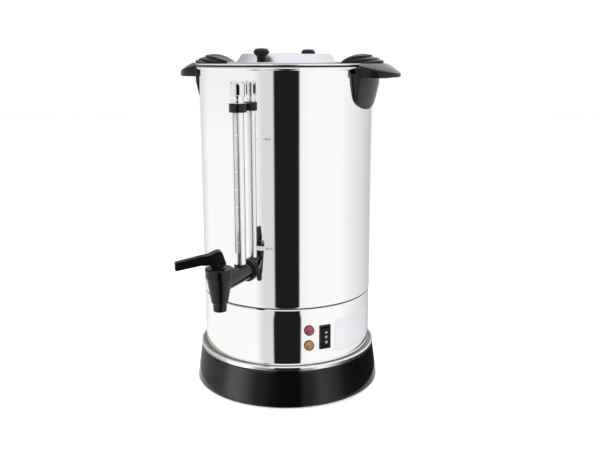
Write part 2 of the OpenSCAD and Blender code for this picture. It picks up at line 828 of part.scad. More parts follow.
module handle_screws() color(zinc)
    for (side = [-1, 1], spread = [-1, 1]) turned(side * handle_angle + spread * handle_screw_spread)
        outward(wall_screw_r, handle_screw_z) screw(wall_screw_len);

module gauge_guard() color(steel) difference() {
    slot_rise = 19.4;
    slot_tuck = 1;
    slot_z0 = socket_z + slot_rise;
    slot_z1 = bracket_z + slot_tuck;
    translate([0, -gauge_y, 0]) ring(guard_r - guard_wall, guard_r, socket_z, guard_top_z);
    translate([-slot_w / 2, -gauge_y - 2 * guard_r, slot_z0])
        cube([slot_w, 2 * guard_r, slot_z1 - slot_z0]);
    for (z = [slot_z0, slot_z1]) outward(gauge_y, z) cylinder(r = slot_w / 2, h = 2 * guard_r);
}

module gauge_glass() color("#dfeef0", 0.4) translate([0, -gauge_y, 0])
    ring(glass_r - glass_wall, glass_r, glass_seat_z, glass_top_z);

module gauge_collar() color(steel) translate([0, -gauge_y, 0]) {
    flange_out = 1.2;
    flange_t = 3.4;
    ring(glass_r + hole_fit, collar_r, guard_top_z, collar_top_z);
    ring(glass_r + hole_fit, collar_r + flange_out, guard_top_z, guard_top_z + flange_t);
}

module gauge_seals() color(silicone) translate([0, -gauge_y, 0]) {
    seal_fit = 0.05;
    ring(glass_r + seal_fit, guard_r - guard_wall - seal_fit, socket_z, socket_z + gauge_seal_h);
    ring(glass_r + seal_fit, collar_r - seal_fit, collar_top_z, glass_top_z);
}

module gauge_bracket() color(black) difference() {
    union() {
        translate([0, -gauge_y, bracket_z]) cylinder(r = bracket_r, h = bracket_h);
        translate([-arm_half, -gauge_y, bracket_z + 1])
            cube([2 * arm_half, gauge_out - shield_gap, bracket_h - 2]);
    }
    translate([0, -gauge_y, bracket_z - 1]) cylinder(r = guard_r + hole_fit, h = bracket_h + 2);
    outward(tank_r - 1, bracket_screw_z) cylinder(r = screw_hole_r, h = wall_screw_len);
}

module bracket_screw() color(zinc) outward(wall_screw_r, bracket_screw_z) screw(wall_screw_len - 1);

module gauge_cap() color(steel) translate([0, -gauge_y, gauge_cap_z]) difference() {
    flutes = 4;
    flute_r = 3.4;
    flute_out = 2;
    flute_turn = 33;
    flute_foot = 4.4;
    flute_head = 6;
    crown = 2;
    union() {
        cylinder(r = gauge_cap_r, h = gauge_cap_h - crown);
        translate([0, 0, gauge_cap_h - crown])
            cylinder(r1 = gauge_cap_r, r2 = gauge_cap_r - crown, h = crown);
    }
    translate([0, 0, -eps]) cylinder(r = collar_r + slide_fit, h = gauge_bore_top_z - gauge_cap_z);
    for (i = [1:flutes]) rotate([0, 0, flute_turn + i * 360 / flutes])
        translate([gauge_cap_r + flute_out, 0, 0]) {
            translate([0, 0, flute_foot]) cylinder(r = flute_r, h = gauge_cap_h - flute_foot - flute_head);
            for (z = [flute_foot, gauge_cap_h - flute_head]) translate([0, 0, z]) sphere(r = flute_r);
        }
}

module tap_body() color(black) difference() {
    union() {
        translate([0, -tap_y, 0]) rotate_extrude() polygon([
            [0, spout_z], [spout_r - spout_edge, spout_z], [spout_r, spout_z + spout_edge],
            [spout_r + spout_edge, shoulder_z], [shoulder_r, shoulder_z], [neck_r + 1.3, bonnet_z],
            [neck_r, bonnet_z], [neck_r, neck_top_z], [0, neck_top_z]
        ]);
        outward(wall_flange_y, tap_z) cylinder(r = shank_r, h = tap_y - wall_flange_y);
        outward(wall_flange_y, tap_z) cylinder(r = wall_flange_r, h = wall_flange_t);
        outward(shank_end_y, tap_z) cylinder(r = thread_r, h = wall_flange_y - shank_end_y + eps);
        translate([0, -gauge_y, tap_z]) cylinder(r = socket_r, h = socket_z - tap_z);
    }
    translate([0, -tap_y, 0]) ring(neck_r, bonnet_r + hole_fit, bonnet_z, bonnet_top_z);
    translate([0, -tap_y, seat_z]) cylinder(r = chamber_r, h = bonnet_top_z - seat_z);
    translate([0, -tap_y, spout_z - 1]) cylinder(r = outlet_r, h = seat_z - spout_z + 2);
    translate([0, -tap_y, spout_z - 1]) cylinder(r = spout_r - 2, h = spout_h - 1);
    outward(shank_end_y - 1, tap_z) cylinder(r = flow_r, h = tap_y - shank_end_y);
    translate([0, -gauge_y, glass_seat_z]) cylinder(r = glass_r + hole_fit, h = socket_z - tap_z);
    translate([0, -gauge_y, tap_z]) cylinder(r = glass_r - glass_wall, h = socket_z - tap_z);
    translate([0, -gauge_y, socket_z]) cylinder(r = guard_r + hole_fit, h = shank_r);
}

module tap_bonnet() color(black) translate([0, -tap_y, 0]) difference() {
    bead_drop = 4;
    bead_h = 3;
    chamfer = bead_drop - bead_h;
    union() {
        translate([0, 0, bonnet_z]) cylinder(r = bonnet_r - 0.4, h = bonnet_h - chamfer);
        translate([0, 0, bonnet_top_z - bead_drop]) cylinder(r = bonnet_r, h = bead_h);
        translate([0, 0, bonnet_top_z - chamfer])
            cylinder(r1 = bonnet_r, r2 = bonnet_r - chamfer, h = chamfer);
    }
    translate([0, 0, bonnet_z - eps]) cylinder(r = neck_r + slide_fit, h = bonnet_h - bonnet_lid_t + eps);
    translate([0, 0, bonnet_z]) cylinder(r = stem_r + slide_fit, h = 2 * bonnet_h);
}

module tap_seals() color(rubber) for (y = [tank_r, inner_seat_y - tap_seal_t])
    outward(y, tap_z) difference() {
        cylinder(r = wall_flange_r - 0.5, h = tap_seal_t);
        translate([0, 0, -1]) cylinder(r = thread_r + slide_fit, h = tap_seal_t + 2);
    }

module tap_spacer() color(zinc) outward(inner_r + wall_clear, tap_z) difference() {
    cylinder(r = thread_r + 3, h = wall_gap - 0.8);
    translate([0, 0, -1]) cylinder(r = thread_r + slide_fit, h = wall_gap + 2);
}

module tap_nut() color(black) outward(inner_seat_y - tap_seal_t - tap_nut_t, tap_z)
    hex_nut(wall_flange_r - 0.5, thread_r + slide_fit, tap_nut_t);

// Point of the spring's wire at a step along the coil and a side of the wire
function wire_point(step, side) = let (
    a = 360 * step / spring_turn_steps,
    b = 360 * side / spring_sides,
    r = spring_r + spring_wire_r * cos(b),
    z = spring_z0 + (spring_z1 - spring_z0) * step / spring_steps
) [r * cos(a), r * sin(a), z + spring_wire_r * sin(b)];

module tap_spring() color(zinc) {
    points = [for (i = [0:spring_steps], k = [0:spring_sides - 1]) wire_point(i, k)];
    walls = [
        for (i = [0:spring_steps - 1], k = [0:spring_sides - 1])
            let (a = i * spring_sides + k, b = i * spring_sides + (k + 1) % spring_sides)
                each [[a, a + spring_sides, b], [b, a + spring_sides, b + spring_sides]]
    ];
    last = spring_steps * spring_sides;
    start_cap = [for (k = [1:spring_sides - 2]) [0, k, k + 1]];
    end_cap = [for (k = [1:spring_sides - 2]) [last, last + k + 1, last + k]];
    translate([0, -tap_y, 0]) polyhedron(points, concat(walls, start_cap, end_cap));
}

module lever_washer() color(black) translate([0, -tap_y, 0])
    ring(stem_r + slide_fit, washer_r, washer_z, washer_z + washer_t);

module tap_stem() color(zinc) translate([0, -tap_y, 0]) difference() {
    translate([0, 0, cup_z + cup_web]) {
        cylinder(r = stem_r, h = stem_top_z - cup_z - cup_web);
        cylinder(r = stem_collar_r, h = stem_collar_h);
    }
    translate([0, 0, pin_z]) rotate([0, 0, -lever_turn]) rotate([0, 90, 0])
        cylinder(r = pin_r, h = 4 * stem_r, center = true);
}

module seat_cup() color(silicone) translate([0, -tap_y, cup_z]) difference() {
    union() {
        cylinder(r1 = cup_r - 2, r2 = cup_r, h = cup_web);
        translate([0, 0, cup_web - eps]) cylinder(r = cup_r, h = cup_h - cup_web + eps);
    }
    translate([0, 0, cup_web]) cylinder(r = stem_r, h = cup_h);
    translate([0, 0, cup_web]) cylinder(r = stem_collar_r, h = stem_collar_h);
}

module lever_pin() color(zinc) translate([0, -tap_y, pin_z]) rotate([0, 0, -lever_turn]) rotate([0, 90, 0]) {
    pin_recess = 2;
    cylinder(r = pin_r, h = lever_w - 2 * pin_recess, center = true);
}

// Contact point of the cam with the washer when the lever has risen by an angle
function cam_point(a) =
    (pin_h + cam_rate * a * PI / 180) * [-sin(a), -cos(a)] + cam_rate * [-cos(a), sin(a)];

// Side outline of the lever around its pin, with the tip along +X
module lever_side() {
    cam_steps = 16;
    hood = [[-4, pin_h + 10.5], [-2.8, pin_h + 12], [0, pin_h + 12.6], [3, pin_h + 12.2], [6, pin_h + 11]];
    saddle = [14, pin_h + 7.7];
    bend = [24, pin_h + 6.7];
    tip_top = pin_h - 1;
    tip_low = -pin_h - 0.2;
    tip_edge = 1;
    web_z = 4 - pin_h;
    boss_front = 10;
    boss_rise = 3;
    polygon(concat(
        [for (i = [0:cam_steps]) cam_point(lever_rise * i / cam_steps)],
        hood,
        [
            saddle, bend, [lever_len - tip_edge, tip_top + tip_edge], [lever_len, tip_top],
            [lever_len, tip_low], [lever_len - tip_edge, tip_low - tip_edge], [bend[0], web_z],
            [boss_front + boss_rise, web_z], [boss_front, -pin_h]
        ]
    ));
}

module tap_lever() color(black) translate([0, -tap_y, pin_z]) rotate([0, 0, -lever_turn - 90]) difference() {
    slot_half = stem_r + move_gap;
    slot_reach = norm([stem_r, stem_head_h]) + move_gap;
    back = 20;
    wide_end = 12;
    narrow_start = 24;
    front = lever_len + 1;
    half = lever_w / 2;
    tip_half = lever_tip_w / 2;
    intersection() {
        rotate([90, 0, 0]) translate([0, 0, -half]) linear_extrude(lever_w) lever_side();
        translate([0, 0, -lever_len]) linear_extrude(2 * lever_len) polygon([
            [-back, -half], [wide_end, -half], [narrow_start, -tip_half], [front, -tip_half],
            [front, tip_half], [narrow_start, tip_half], [wide_end, half], [-back, half]
        ]);
    }
    translate([-back, -slot_half, -back]) cube([back + slot_reach, 2 * slot_half, back + slot_reach]);
    rotate([90, 0, 0]) cylinder(r = pin_r + pin_fit, h = 2 * lever_w, center = true);
}

module lid_seal() color(silicone) difference() {
    translate([0, 0, deck_z + lid_seat_gap]) ring(opening_r + move_gap, lid_r - 0.6, 0, seal_h);
    tongue_notches();
}

module lid_pan() color(steel) difference() {
    foot_round = 1.5;
    top_round = 4;
    crown_z = lid_top_z + plateau_h + 0.5;
    union() {
        rotate_extrude() {
            sheet(concat(
                [[lid_r - sheet_t, lid_top_z]],
                arc([plateau_r + foot_round, lid_top_z + foot_round], foot_round, 270, 210),
                arc(
                    [plateau_r - plateau_lean - top_round + 1, lid_top_z + plateau_h - top_round],
                    top_round, 25, 86
                ),
                [[plateau_r / 4, crown_z], [0, crown_z]]
            ));
            translate([lid_r - sheet_t, lid_top_z]) circle(sheet_t);
            band(skirt_r - sheet_t, skirt_r, lid_z - skirt_h, lid_z + eps);
        }
        for (side = [-1, 1]) turned(side * 90) translate([-tongue_w / 2, -tongue_r, tongue_z])
            cube([tongue_w, tongue_r - skirt_r + 1.5, tongue_t]);
    }
    cylinder(r = skirt_r - sheet_t, h = lid_z - eps);
    for (side = [-1, 1]) translate([0, side * knob_place, 0]) cylinder(r = screw_hole_r, h = 2 * rim_z);
}

module knob(side) color(black) translate([0, side * knob_place, lid_top_z]) difference() {
    neck_h = knob_h * 0.39;
    cap_edge = knob_h * 0.72;
    edge_r = 1.3;
    rotate_extrude() polygon(concat(
        [[0, 0], [knob_neck_r, 0], [knob_neck_r + 0.5, neck_h], [knob_r - 1.2, cap_edge - 2.2]],
        arc([knob_r - edge_r, cap_edge - 1], edge_r, -60, 55),
        [[knob_r * 0.72, knob_h - 1.3], [knob_r * 0.4, knob_h - 0.3], [0, knob_h]]
    ));
    translate([0, 0, -1]) cylinder(r = screw_hole_r, h = knob_screw_len + 2);
}

module front_knob() knob(-1);

module rear_knob() knob(1);

module knob_screws() color(zinc) for (side = [-1, 1]) translate([0, side * knob_place, lid_z])
    screw(knob_screw_len);

module perk_tube() color(steel) rotate_extrude() {
    bell_z = tank_floor_z + 9;
    throat_z = bell_z + 5;
    foot_edge = 1.2;
    bore_r = tube_r - tube_wall;
    polygon([
        [tube_foot_r, tank_floor_z], [tube_foot_r, tank_floor_z + foot_edge], [tube_r + 3, bell_z],
        [tube_r, throat_z], [tube_r, tube_top_z], [bore_r, tube_top_z], [bore_r, throat_z],
        [bore_r + 2.5, bell_z - foot_edge], [tube_foot_r - 1.5, tank_floor_z + 0.8],
        [tube_foot_r - 1.5, tank_floor_z]
    ]);
    band(tube_r - tube_wall / 2, tube_collar_r, basket_z - tube_collar_h, basket_z);
}

// Rings of drain holes through a sheet at a height
module drain_holes(z) for (row = basket_rows, i = [1:row[1]]) rotate([0, 0, i * 360 / row[1]])
    translate([row[0], 0, z - 5]) cylinder(r = 2, h = 10);

module coffee_basket() color(steel) difference() {
    corner_r = 4;
    rim_bead_r = 1.2;
    hub_wall = 1;
    rotate_extrude() {
        sheet(concat(
            [[basket_hub_r, basket_z]],
            arc([basket_r - corner_r, basket_z + corner_r], corner_r, -90, 0),
            [[basket_r, basket_z + basket_h]]
        ));
        translate([basket_r, basket_z + basket_h]) circle(rim_bead_r);
        band(basket_hub_r, basket_hub_r + hub_wall, basket_z, basket_z + basket_h * 0.6);
    }
    drain_holes(basket_z);
}

module basket_cover() color(steel) difference() {
    z = basket_z + basket_h + 1.3;
    skirt = 5;
    edge_r = basket_r + 2.2;
    rotate_extrude() sheet([[edge_r, z - skirt], [edge_r, z + sheet_t], [basket_hub_r, z + sheet_t]]);
    drain_holes(z);
}

base_shell();
base_trim_ring();
bottom_plate();
rubber_feet();
bottom_screws();
lower_shell();
cord_gland();
red_lamp_lens();
amber_lamp_lens();
lamp_bezels();
lamp_bodies();
switch_housing();
switch_pin();
switch_rocker();
rating_plate();
outer_shell();
inner_tank();
insulation_jacket();
deck_gasket();
top_deck();
heat_plate();
heating_element();
thermostat();
thermal_cutout();
heat_shield();
tie_rods();
tie_nuts();
terminal_block();
left_handle();
right_handle();
left_handle_cap();
right_handle_cap();
handle_screws();
gauge_guard();
gauge_glass();
gauge_collar();
gauge_seals();
gauge_bracket();
bracket_screw();
gauge_cap();
tap_body();
tap_bonnet();
tap_seals();
tap_spacer();
tap_nut();
tap_spring();
lever_washer();
tap_stem();
seat_cup();
lever_pin();
tap_lever();
lid_seal();
lid_pan();
front_knob();
rear_knob();
knob_screws();
perk_tube();
coffee_basket();
basket_cover();
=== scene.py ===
"""Looks of an electric coffee urn, built around its packed construction and lit as on a photo table."""

import json
import math

import bmesh
import bpy
from mathutils import Matrix, Vector


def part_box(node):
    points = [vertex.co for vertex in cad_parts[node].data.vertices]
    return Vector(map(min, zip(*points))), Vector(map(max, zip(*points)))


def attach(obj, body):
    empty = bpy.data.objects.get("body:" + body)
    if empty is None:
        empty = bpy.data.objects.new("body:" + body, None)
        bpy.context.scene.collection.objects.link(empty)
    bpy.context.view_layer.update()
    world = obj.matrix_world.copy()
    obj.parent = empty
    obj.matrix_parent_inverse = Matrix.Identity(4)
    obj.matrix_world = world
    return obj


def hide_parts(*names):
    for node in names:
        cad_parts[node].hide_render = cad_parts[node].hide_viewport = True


bl_info = {
    "name": "Coffee Urn",
    "version": (1, 0, 0),
    "blender": (4, 5, 0),
    "location": "3D View > Sidebar > Coffee Urn",
    "description": "Builds the visible pieces of a coffee urn around its construction and sets the stage",
    "category": "Object",
}

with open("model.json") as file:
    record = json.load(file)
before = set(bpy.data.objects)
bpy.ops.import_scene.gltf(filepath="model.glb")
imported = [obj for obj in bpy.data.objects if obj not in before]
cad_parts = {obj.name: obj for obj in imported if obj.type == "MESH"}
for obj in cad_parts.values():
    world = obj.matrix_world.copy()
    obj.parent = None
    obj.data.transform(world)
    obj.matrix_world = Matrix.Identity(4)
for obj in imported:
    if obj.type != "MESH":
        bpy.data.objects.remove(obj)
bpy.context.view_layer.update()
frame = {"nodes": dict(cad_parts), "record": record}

MM = 0.001
TINY = 1e-7

# Fillet too small to see, for points along a straight side, and gap between faces that nearly touch
HAIR = 0.02 * MM

# Steps round a turned piece
TANK_TURNS = 256
FINE_TURNS = 384
COLLAR_TURNS = 128
TUBE_TURNS = 96
LENS_TURNS = 64

# Noise between which a patch of a finish fades in, and the detail of patches and grain
PATCH_LOW = 0.3
PATCH_HIGH = 0.7
PATCH_DETAIL = 3.0
GRAIN_DETAIL = 2.0


class UrnSizes(bpy.types.PropertyGroup):
    """Sizes of what the construction leaves plain."""

    sheet: bpy.props.FloatProperty(
        name="Sheet", description="Thickness of the steel sheet",
        default=0.8 * MM, unit="LENGTH")
    edge: bpy.props.FloatProperty(
        name="Edge", description="Rounding of cut sheet edges",
        default=0.25 * MM, unit="LENGTH")
    seam_round: bpy.props.FloatProperty(
        name="Seam round", description="Rounding of both walls at the seam between them",
        default=3.5 * MM, unit="LENGTH")
    seam_lip: bpy.props.FloatProperty(
        name="Seam lip", description="Width of the flanges that meet at the seam",
        default=9 * MM, unit="LENGTH")
    mark_pitch: bpy.props.FloatProperty(
        name="Mark pitch", description="Distance between two marks on the level glass",
        default=24.7 * MM, unit="LENGTH")
    mark_height: bpy.props.FloatProperty(
        name="Mark height", description="Height of a mark on the level glass",
        default=1.1 * MM, unit="LENGTH")
    word_height: bpy.props.FloatProperty(
        name="Word height", description="Height of the level words' letters",
        default=2.6 * MM, unit="LENGTH")
    full_level: bpy.props.FloatProperty(
        name="Full level", description="Height of the upper level word",
        default=390.3 * MM, unit="LENGTH")
    low_level: bpy.props.FloatProperty(
        name="Low level", description="Height of the lower level word",
        default=236.2 * MM, unit="LENGTH")


class UrnColours(bpy.types.PropertyGroup):
    """Colours of the finishes."""

    steel: bpy.props.FloatVectorProperty(
        name="Steel", description="Reflection colour of the polished wall",
        default=(0.94, 0.94, 0.95, 1.0), size=4, subtype="COLOR")
    band: bpy.props.FloatVectorProperty(
        name="Band", description="Reflection colour of the lower band",
        default=(0.95, 0.945, 0.93, 1.0), size=4, subtype="COLOR")
    lid: bpy.props.FloatVectorProperty(
        name="Lid", description="Reflection colour of the lid and deck",
        default=(0.88, 0.885, 0.92, 1.0), size=4, subtype="COLOR")
    black: bpy.props.FloatVectorProperty(
        name="Black", description="Black plastic of handles, tap and switch",
        default=(0.0045, 0.0045, 0.005, 1.0), size=4, subtype="COLOR")
    base: bpy.props.FloatVectorProperty(
        name="Base", description="Blue-black plastic of the base",
        default=(0.0026, 0.0028, 0.0036, 1.0), size=4, subtype="COLOR")
    red: bpy.props.FloatVectorProperty(
        name="Red", description="Red lamp lens",
        default=(0.42, 0.06, 0.085, 1.0), size=4, subtype="COLOR")
    amber: bpy.props.FloatVectorProperty(
        name="Amber", description="Amber lamp lens",
        default=(0.5, 0.26, 0.055, 1.0), size=4, subtype="COLOR")
    bezel: bpy.props.FloatVectorProperty(
        name="Bezel", description="Brown plastic of the lamp bezels",
        default=(0.035, 0.022, 0.017, 1.0), size=4, subtype="COLOR")
    plate: bpy.props.FloatVectorProperty(
        name="Plate", description="Pale foil of the blank plate",
        default=(0.9, 0.905, 0.94, 1.0), size=4, subtype="COLOR")
    mark: bpy.props.FloatVectorProperty(
        name="Mark", description="White paint of signs and marks",
        default=(0.8, 0.8, 0.8, 1.0), size=4, subtype="COLOR")
    word: bpy.props.FloatVectorProperty(
        name="Word", description="Grey print of the level words",
        default=(0.09, 0.09, 0.095, 1.0), size=4, subtype="COLOR")
    floor: bpy.props.FloatVectorProperty(
        name="Floor", description="Photo table",
        default=(0.86, 0.86, 0.86, 1.0), size=4, subtype="COLOR")


class UrnStage(bpy.types.PropertyGroup):
    """Camera and light."""

    lens: bpy.props.FloatProperty(
        name="Lens", description="Focal length in millimetres for a sensor 36 mm wide", default=46.31)
    camera_place: bpy.props.FloatVectorProperty(
        name="Camera", description="Where the camera stands",
        default=(0.5089, -1.0669, 0.5), size=3, subtype="TRANSLATION")
    camera_tilt: bpy.props.FloatProperty(
        name="Tilt", description="Angle of the view below the horizon",
        default=math.radians(12.28), subtype="ANGLE")
    camera_pan: bpy.props.FloatProperty(
        name="Pan", description="Turn of the view away from the tap's direction",
        default=math.radians(24.51), subtype="ANGLE")
    tent_turn: bpy.props.FloatProperty(
        name="Tent turn", description="Direction of the gap in the light tent, from the tap",
        default=math.radians(25.5), subtype="ANGLE")
    tent_focus: bpy.props.FloatProperty(
        name="Tent focus", description="Distance from the urn's axis to the point the tent is centred on",
        default=0.068, unit="LENGTH")
    gap_half: bpy.props.FloatProperty(
        name="Gap", description="Half the opening of the tent that the camera looks through",
        default=math.radians(16.35), subtype="ANGLE")
    ambient: bpy.props.FloatProperty(
        name="Ambient", description="Strength of the even light from all round", default=0.62)


def units(angle):
    """Returns the cosine and sine of an angle."""
    return math.cos(angle), math.sin(angle)


def rounded(outline, steps=5):
    """Rounds a closed outline of (radius, height, fillet) corners into (radius, height, normal) points."""
    side_share = 0.49
    straight = 1e-6
    points = [Vector((r, z)) for r, z, _ in outline]
    count = len(points)
    area = sum(points[i - 1].x * points[i].y - points[i].x * points[i - 1].y for i in range(count))
    if area < 0:
        outline = list(reversed(outline))
        points = list(reversed(points))
    result = []
    for i, (here, corner) in enumerate(zip(points, outline)):
        before = points[i - 1] - here
        after = points[(i + 1) % count] - here
        u = before.normalized()
        v = after.normalized()
        if here.x < TINY:
            side = v if points[(i + 1) % count].x > TINY else -u
            result.append((0.0, here.y, Vector((0.0, math.copysign(1.0, -side.x)))))
            continue
        turn = u.cross(v)
        if abs(turn) < straight:
            result.append((here.x, here.y, Vector((v.y, -v.x))))
            continue
        half = math.acos(max(-1.0, min(1.0, u.dot(v)))) / 2
        room = side_share * min(before.length, after.length)
        reach = min(corner[2] / math.tan(half), room)
        radius = reach * math.tan(half)
        centre = here + (u + v).normalized() * radius / math.sin(half)
        start = here + u * reach - centre
        end = here + v * reach - centre
        sweep = start.angle_signed(end)
        outward = 1.0 if turn < 0 else -1.0
        for k in range(steps + 1):
            arm = start.copy()
            arm.rotate(Matrix.Rotation(-sweep * k / steps, 2))
            result.append((centre.x + arm.x, centre.y + arm.y, outward * arm.normalized()))
    return result


def tube_outline(inner, outer, low, high, fillet, outer_fillet=None):
    """Rounded section of a tube, as a turned outline."""
    outside = outer_fillet or fillet
    return rounded([
        (inner, low, fillet), (outer, low, outside), (outer, high, outside), (inner, high, fillet),
    ])


def ring_section(radius, height, half):
    """Round section of a rolled edge, as a turned outline."""
    count = 16
    points = []
    for k in range(count):
        c, s = units(2 * math.pi * k / count)
        points.append((radius + half * c, height + half * s, Vector((c, s))))
    return points


def strip_outline(half, low, high, arc):
    """Upright strip with round ends, as (across, up) points round its upper end and then its lower end."""
    points = []
    for end, start in ((high, 0.0), (low, math.pi)):
        for k in range(arc + 1):
            c, s = units(start + math.pi * k / arc)
            points.append((half * c, end + half * s))
    return points


def add_piece(name, mesh):
    """Links a mesh to the scene as a new object."""
    piece = bpy.data.objects.new(name, mesh)
    bpy.context.scene.collection.objects.link(piece)
    return piece


def turned(name, outlines, turns=TANK_TURNS, place=None, flute=None, flute_from=0.0, exact=True):
    """Turns closed outlines round the Z axis and, if exact, keeps their own normals.

    A flute function of angle and height scales the radii larger than flute_from.
    """
    place = place or Matrix.Identity(4)
    verts = []
    normals = []
    faces = []
    for outline in outlines:
        rings = []
        for radius, height, normal in outline:
            pole = radius < TINY
            rings.append((len(verts), 1 if pole else turns))
            for k in range(1 if pole else turns):
                angle = 2 * math.pi * k / turns
                c, s = units(angle)
                size = radius
                if flute and radius > flute_from:
                    size *= flute(angle, height)
                verts.append(place @ Vector((size * c, size * s, height)))
                normals.append(place.to_3x3() @ Vector((normal.x * c, normal.x * s, normal.y)))
        for (a, count_a), (b, count_b) in zip(rings, rings[1:] + rings[:1]):
            if count_a == count_b == 1:
                continue
            for k in range(turns):
                n = (k + 1) % turns
                loop = [a + k % count_a, a + n % count_a, b + n % count_b, b + k % count_b]
                faces.append(list(dict.fromkeys(loop)))
    mesh = bpy.data.meshes.new(name)
    mesh.from_pydata(verts, [], faces)
    face_outward(mesh)
    mesh.shade_smooth()
    if exact and flute is None:
        mesh.normals_split_custom_set_from_vertices(normals)
    return add_piece(name, mesh)


def face_outward(mesh):
    """Makes all faces of a closed mesh look outward."""
    work = bmesh.new()
    work.from_mesh(mesh)
    bmesh.ops.recalc_face_normals(work, faces=work.faces)
    work.to_mesh(mesh)
    work.free()


def prism(corners, place=Matrix.Identity(4)):
    """Returns the vertices and faces of a closed block between two outlines with as many corners each."""
    count = len(corners) // 2
    verts = [place @ Vector(c) for c in corners]
    faces = [list(range(count)), list(range(2 * count - 1, count - 1, -1))]
    for k in range(count):
        n = (k + 1) % count
        faces.append([n, k, count + k, count + n])
    return verts, faces


def blocks(name, parts, smooth_angle=None):
    """Joins closed blocks into one mesh."""
    verts = []
    faces = []
    for part_verts, part_faces in parts:
        first = len(verts)
        verts.extend(part_verts)
        faces.extend([first + i for i in face] for face in part_faces)
    mesh = bpy.data.meshes.new(name)
    mesh.from_pydata(verts, [], faces)
    face_outward(mesh)
    piece = add_piece(name, mesh)
    if smooth_angle:
        soften_shading(piece, smooth_angle)
    return piece


def soften_shading(piece, degrees=35):
    """Shades a piece smooth, apart from its sharp edges."""
    piece.data.shade_smooth()
    piece.data.set_sharp_from_angle(angle=math.radians(degrees))


def bake(piece):
    """Applies a piece's modifiers."""
    graph = bpy.context.evaluated_depsgraph_get()
    mesh = bpy.data.meshes.new_from_object(piece.evaluated_get(graph))
    piece.modifiers.clear()
    piece.data = mesh
    return piece


def cut(piece, cutter):
    """Cuts a closed mesh out of a piece and removes the cutter."""
    difference = piece.modifiers.new("cut", "BOOLEAN")
    difference.operation = "DIFFERENCE"
    difference.solver = "EXACT"
    difference.object = cutter
    bake(piece)
    bpy.data.objects.remove(cutter)
    return piece


def softened(name, node, voxel, rounds):
    """Copies a CAD node into a new piece with rounded edges."""
    piece = add_piece(name, frame["nodes"][node].data.copy())
    weld = piece.modifiers.new("weld", "WELD")
    weld.merge_threshold = 0.002 * MM
    remesh = piece.modifiers.new("remesh", "REMESH")
    remesh.mode = "VOXEL"
    remesh.voxel_size = voxel
    smooth = piece.modifiers.new("smooth", "SMOOTH")
    smooth.factor = 0.5
    smooth.iterations = rounds
    bake(piece)
    piece.data.shade_smooth()
    return piece


def dress(piece, material, body, slot, *nodes):
    """Gives a piece its finish, its body and the CAD nodes it stands for."""
    piece.data.materials.clear()
    piece.data.materials.append(material)
    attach(piece, body)
    if nodes:
        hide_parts(*nodes)
    return piece


def span(node):
    """Centre, radius, lowest and highest height of a round upright CAD node."""
    low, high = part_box(node)
    return (low + high) / 2, (high.x - low.x) / 2, low.z, high.z


def upright(centre):
    """Placement over a point in the plan."""
    return Matrix.Translation((centre.x, centre.y, 0.0))


def facing(node):
    """Placement at a CAD node on the wall: Z points out of the wall and Y up."""
    low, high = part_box(node)
    centre = (low + high) / 2
    out = Vector((centre.x, centre.y, 0.0)).normalized()
    up = Vector((0.0, 0.0, 1.0))
    side = up.cross(out)
    turn = Matrix((side, up, out)).transposed()
    return Matrix.Translation((0.0, 0.0, centre.z)) @ turn.to_4x4()


def shader_of(material):
    """Returns a material's main shader."""
    return material.node_tree.nodes["Principled BSDF"]


def link(material, source, target):
    """Joins two sockets of a material."""
    material.node_tree.links.new(source, target)


def finish(name, colour, roughness, metallic=0.0, coat=0.0):
    """Makes an even material and returns it."""
    material = bpy.data.materials.new(name)
    material.use_nodes = True
    shader = shader_of(material)
    shader.inputs["Base Color"].default_value = colour
    shader.inputs["Roughness"].default_value = roughness
    shader.inputs["Metallic"].default_value = metallic
    shader.inputs["Coat Weight"].default_value = coat
    return material


def noise(material, scale, detail, stretch=(1.0, 1.0, 1.0)):
    """Adds noise in the piece's own coordinates and returns its output."""
    nodes = material.node_tree.nodes
    place = nodes.new("ShaderNodeTexCoord")
    mapping = nodes.new("ShaderNodeMapping")
    mapping.inputs["Scale"].default_value = stretch
    texture = nodes.new("ShaderNodeTexNoise")
    texture.inputs["Scale"].default_value = scale
    texture.inputs["Detail"].default_value = detail
    link(material, place.outputs["Object"], mapping.inputs["Vector"])
    link(material, mapping.outputs["Vector"], texture.inputs["Vector"])
    return texture.outputs["Fac"]


def scaled(colour, share):
    """Returns a darker or lighter colour."""
    return [min(1.0, c * share) for c in colour[:3]] + [1.0]


def add_ramp(material, source, first, last):
    """Sends a socket through a ramp of two (position, colour) stops and returns the ramp's output."""
    ramp = material.node_tree.nodes.new("ShaderNodeValToRGB")
    for element, (position, colour) in zip(ramp.color_ramp.elements, (first, last)):
        element.position = position
        element.color = colour
    link(material, source, ramp.inputs["Fac"])
    return ramp.outputs["Color"]


def vary_roughness(material, low, high, scale):
    """Lets a finish change from smoother to rougher in soft patches."""
    reach = material.node_tree.nodes.new("ShaderNodeMapRange")
    reach.inputs["From Min"].default_value = PATCH_LOW
    reach.inputs["From Max"].default_value = PATCH_HIGH
    reach.inputs["To Min"].default_value = low
    reach.inputs["To Max"].default_value = high
    link(material, noise(material, scale, PATCH_DETAIL), reach.inputs["Value"])
    link(material, reach.outputs["Result"], shader_of(material).inputs["Roughness"])


def vary_colour(material, share, scale):
    """Lets a finish's colour change slightly from place to place."""
    socket = shader_of(material).inputs["Base Color"]
    darker = (PATCH_LOW, scaled(socket.default_value, 1 - share))
    lighter = (PATCH_HIGH, scaled(socket.default_value, 1 + share))
    patches = noise(material, scale, PATCH_DETAIL)
    link(material, add_ramp(material, patches, darker, lighter), socket)


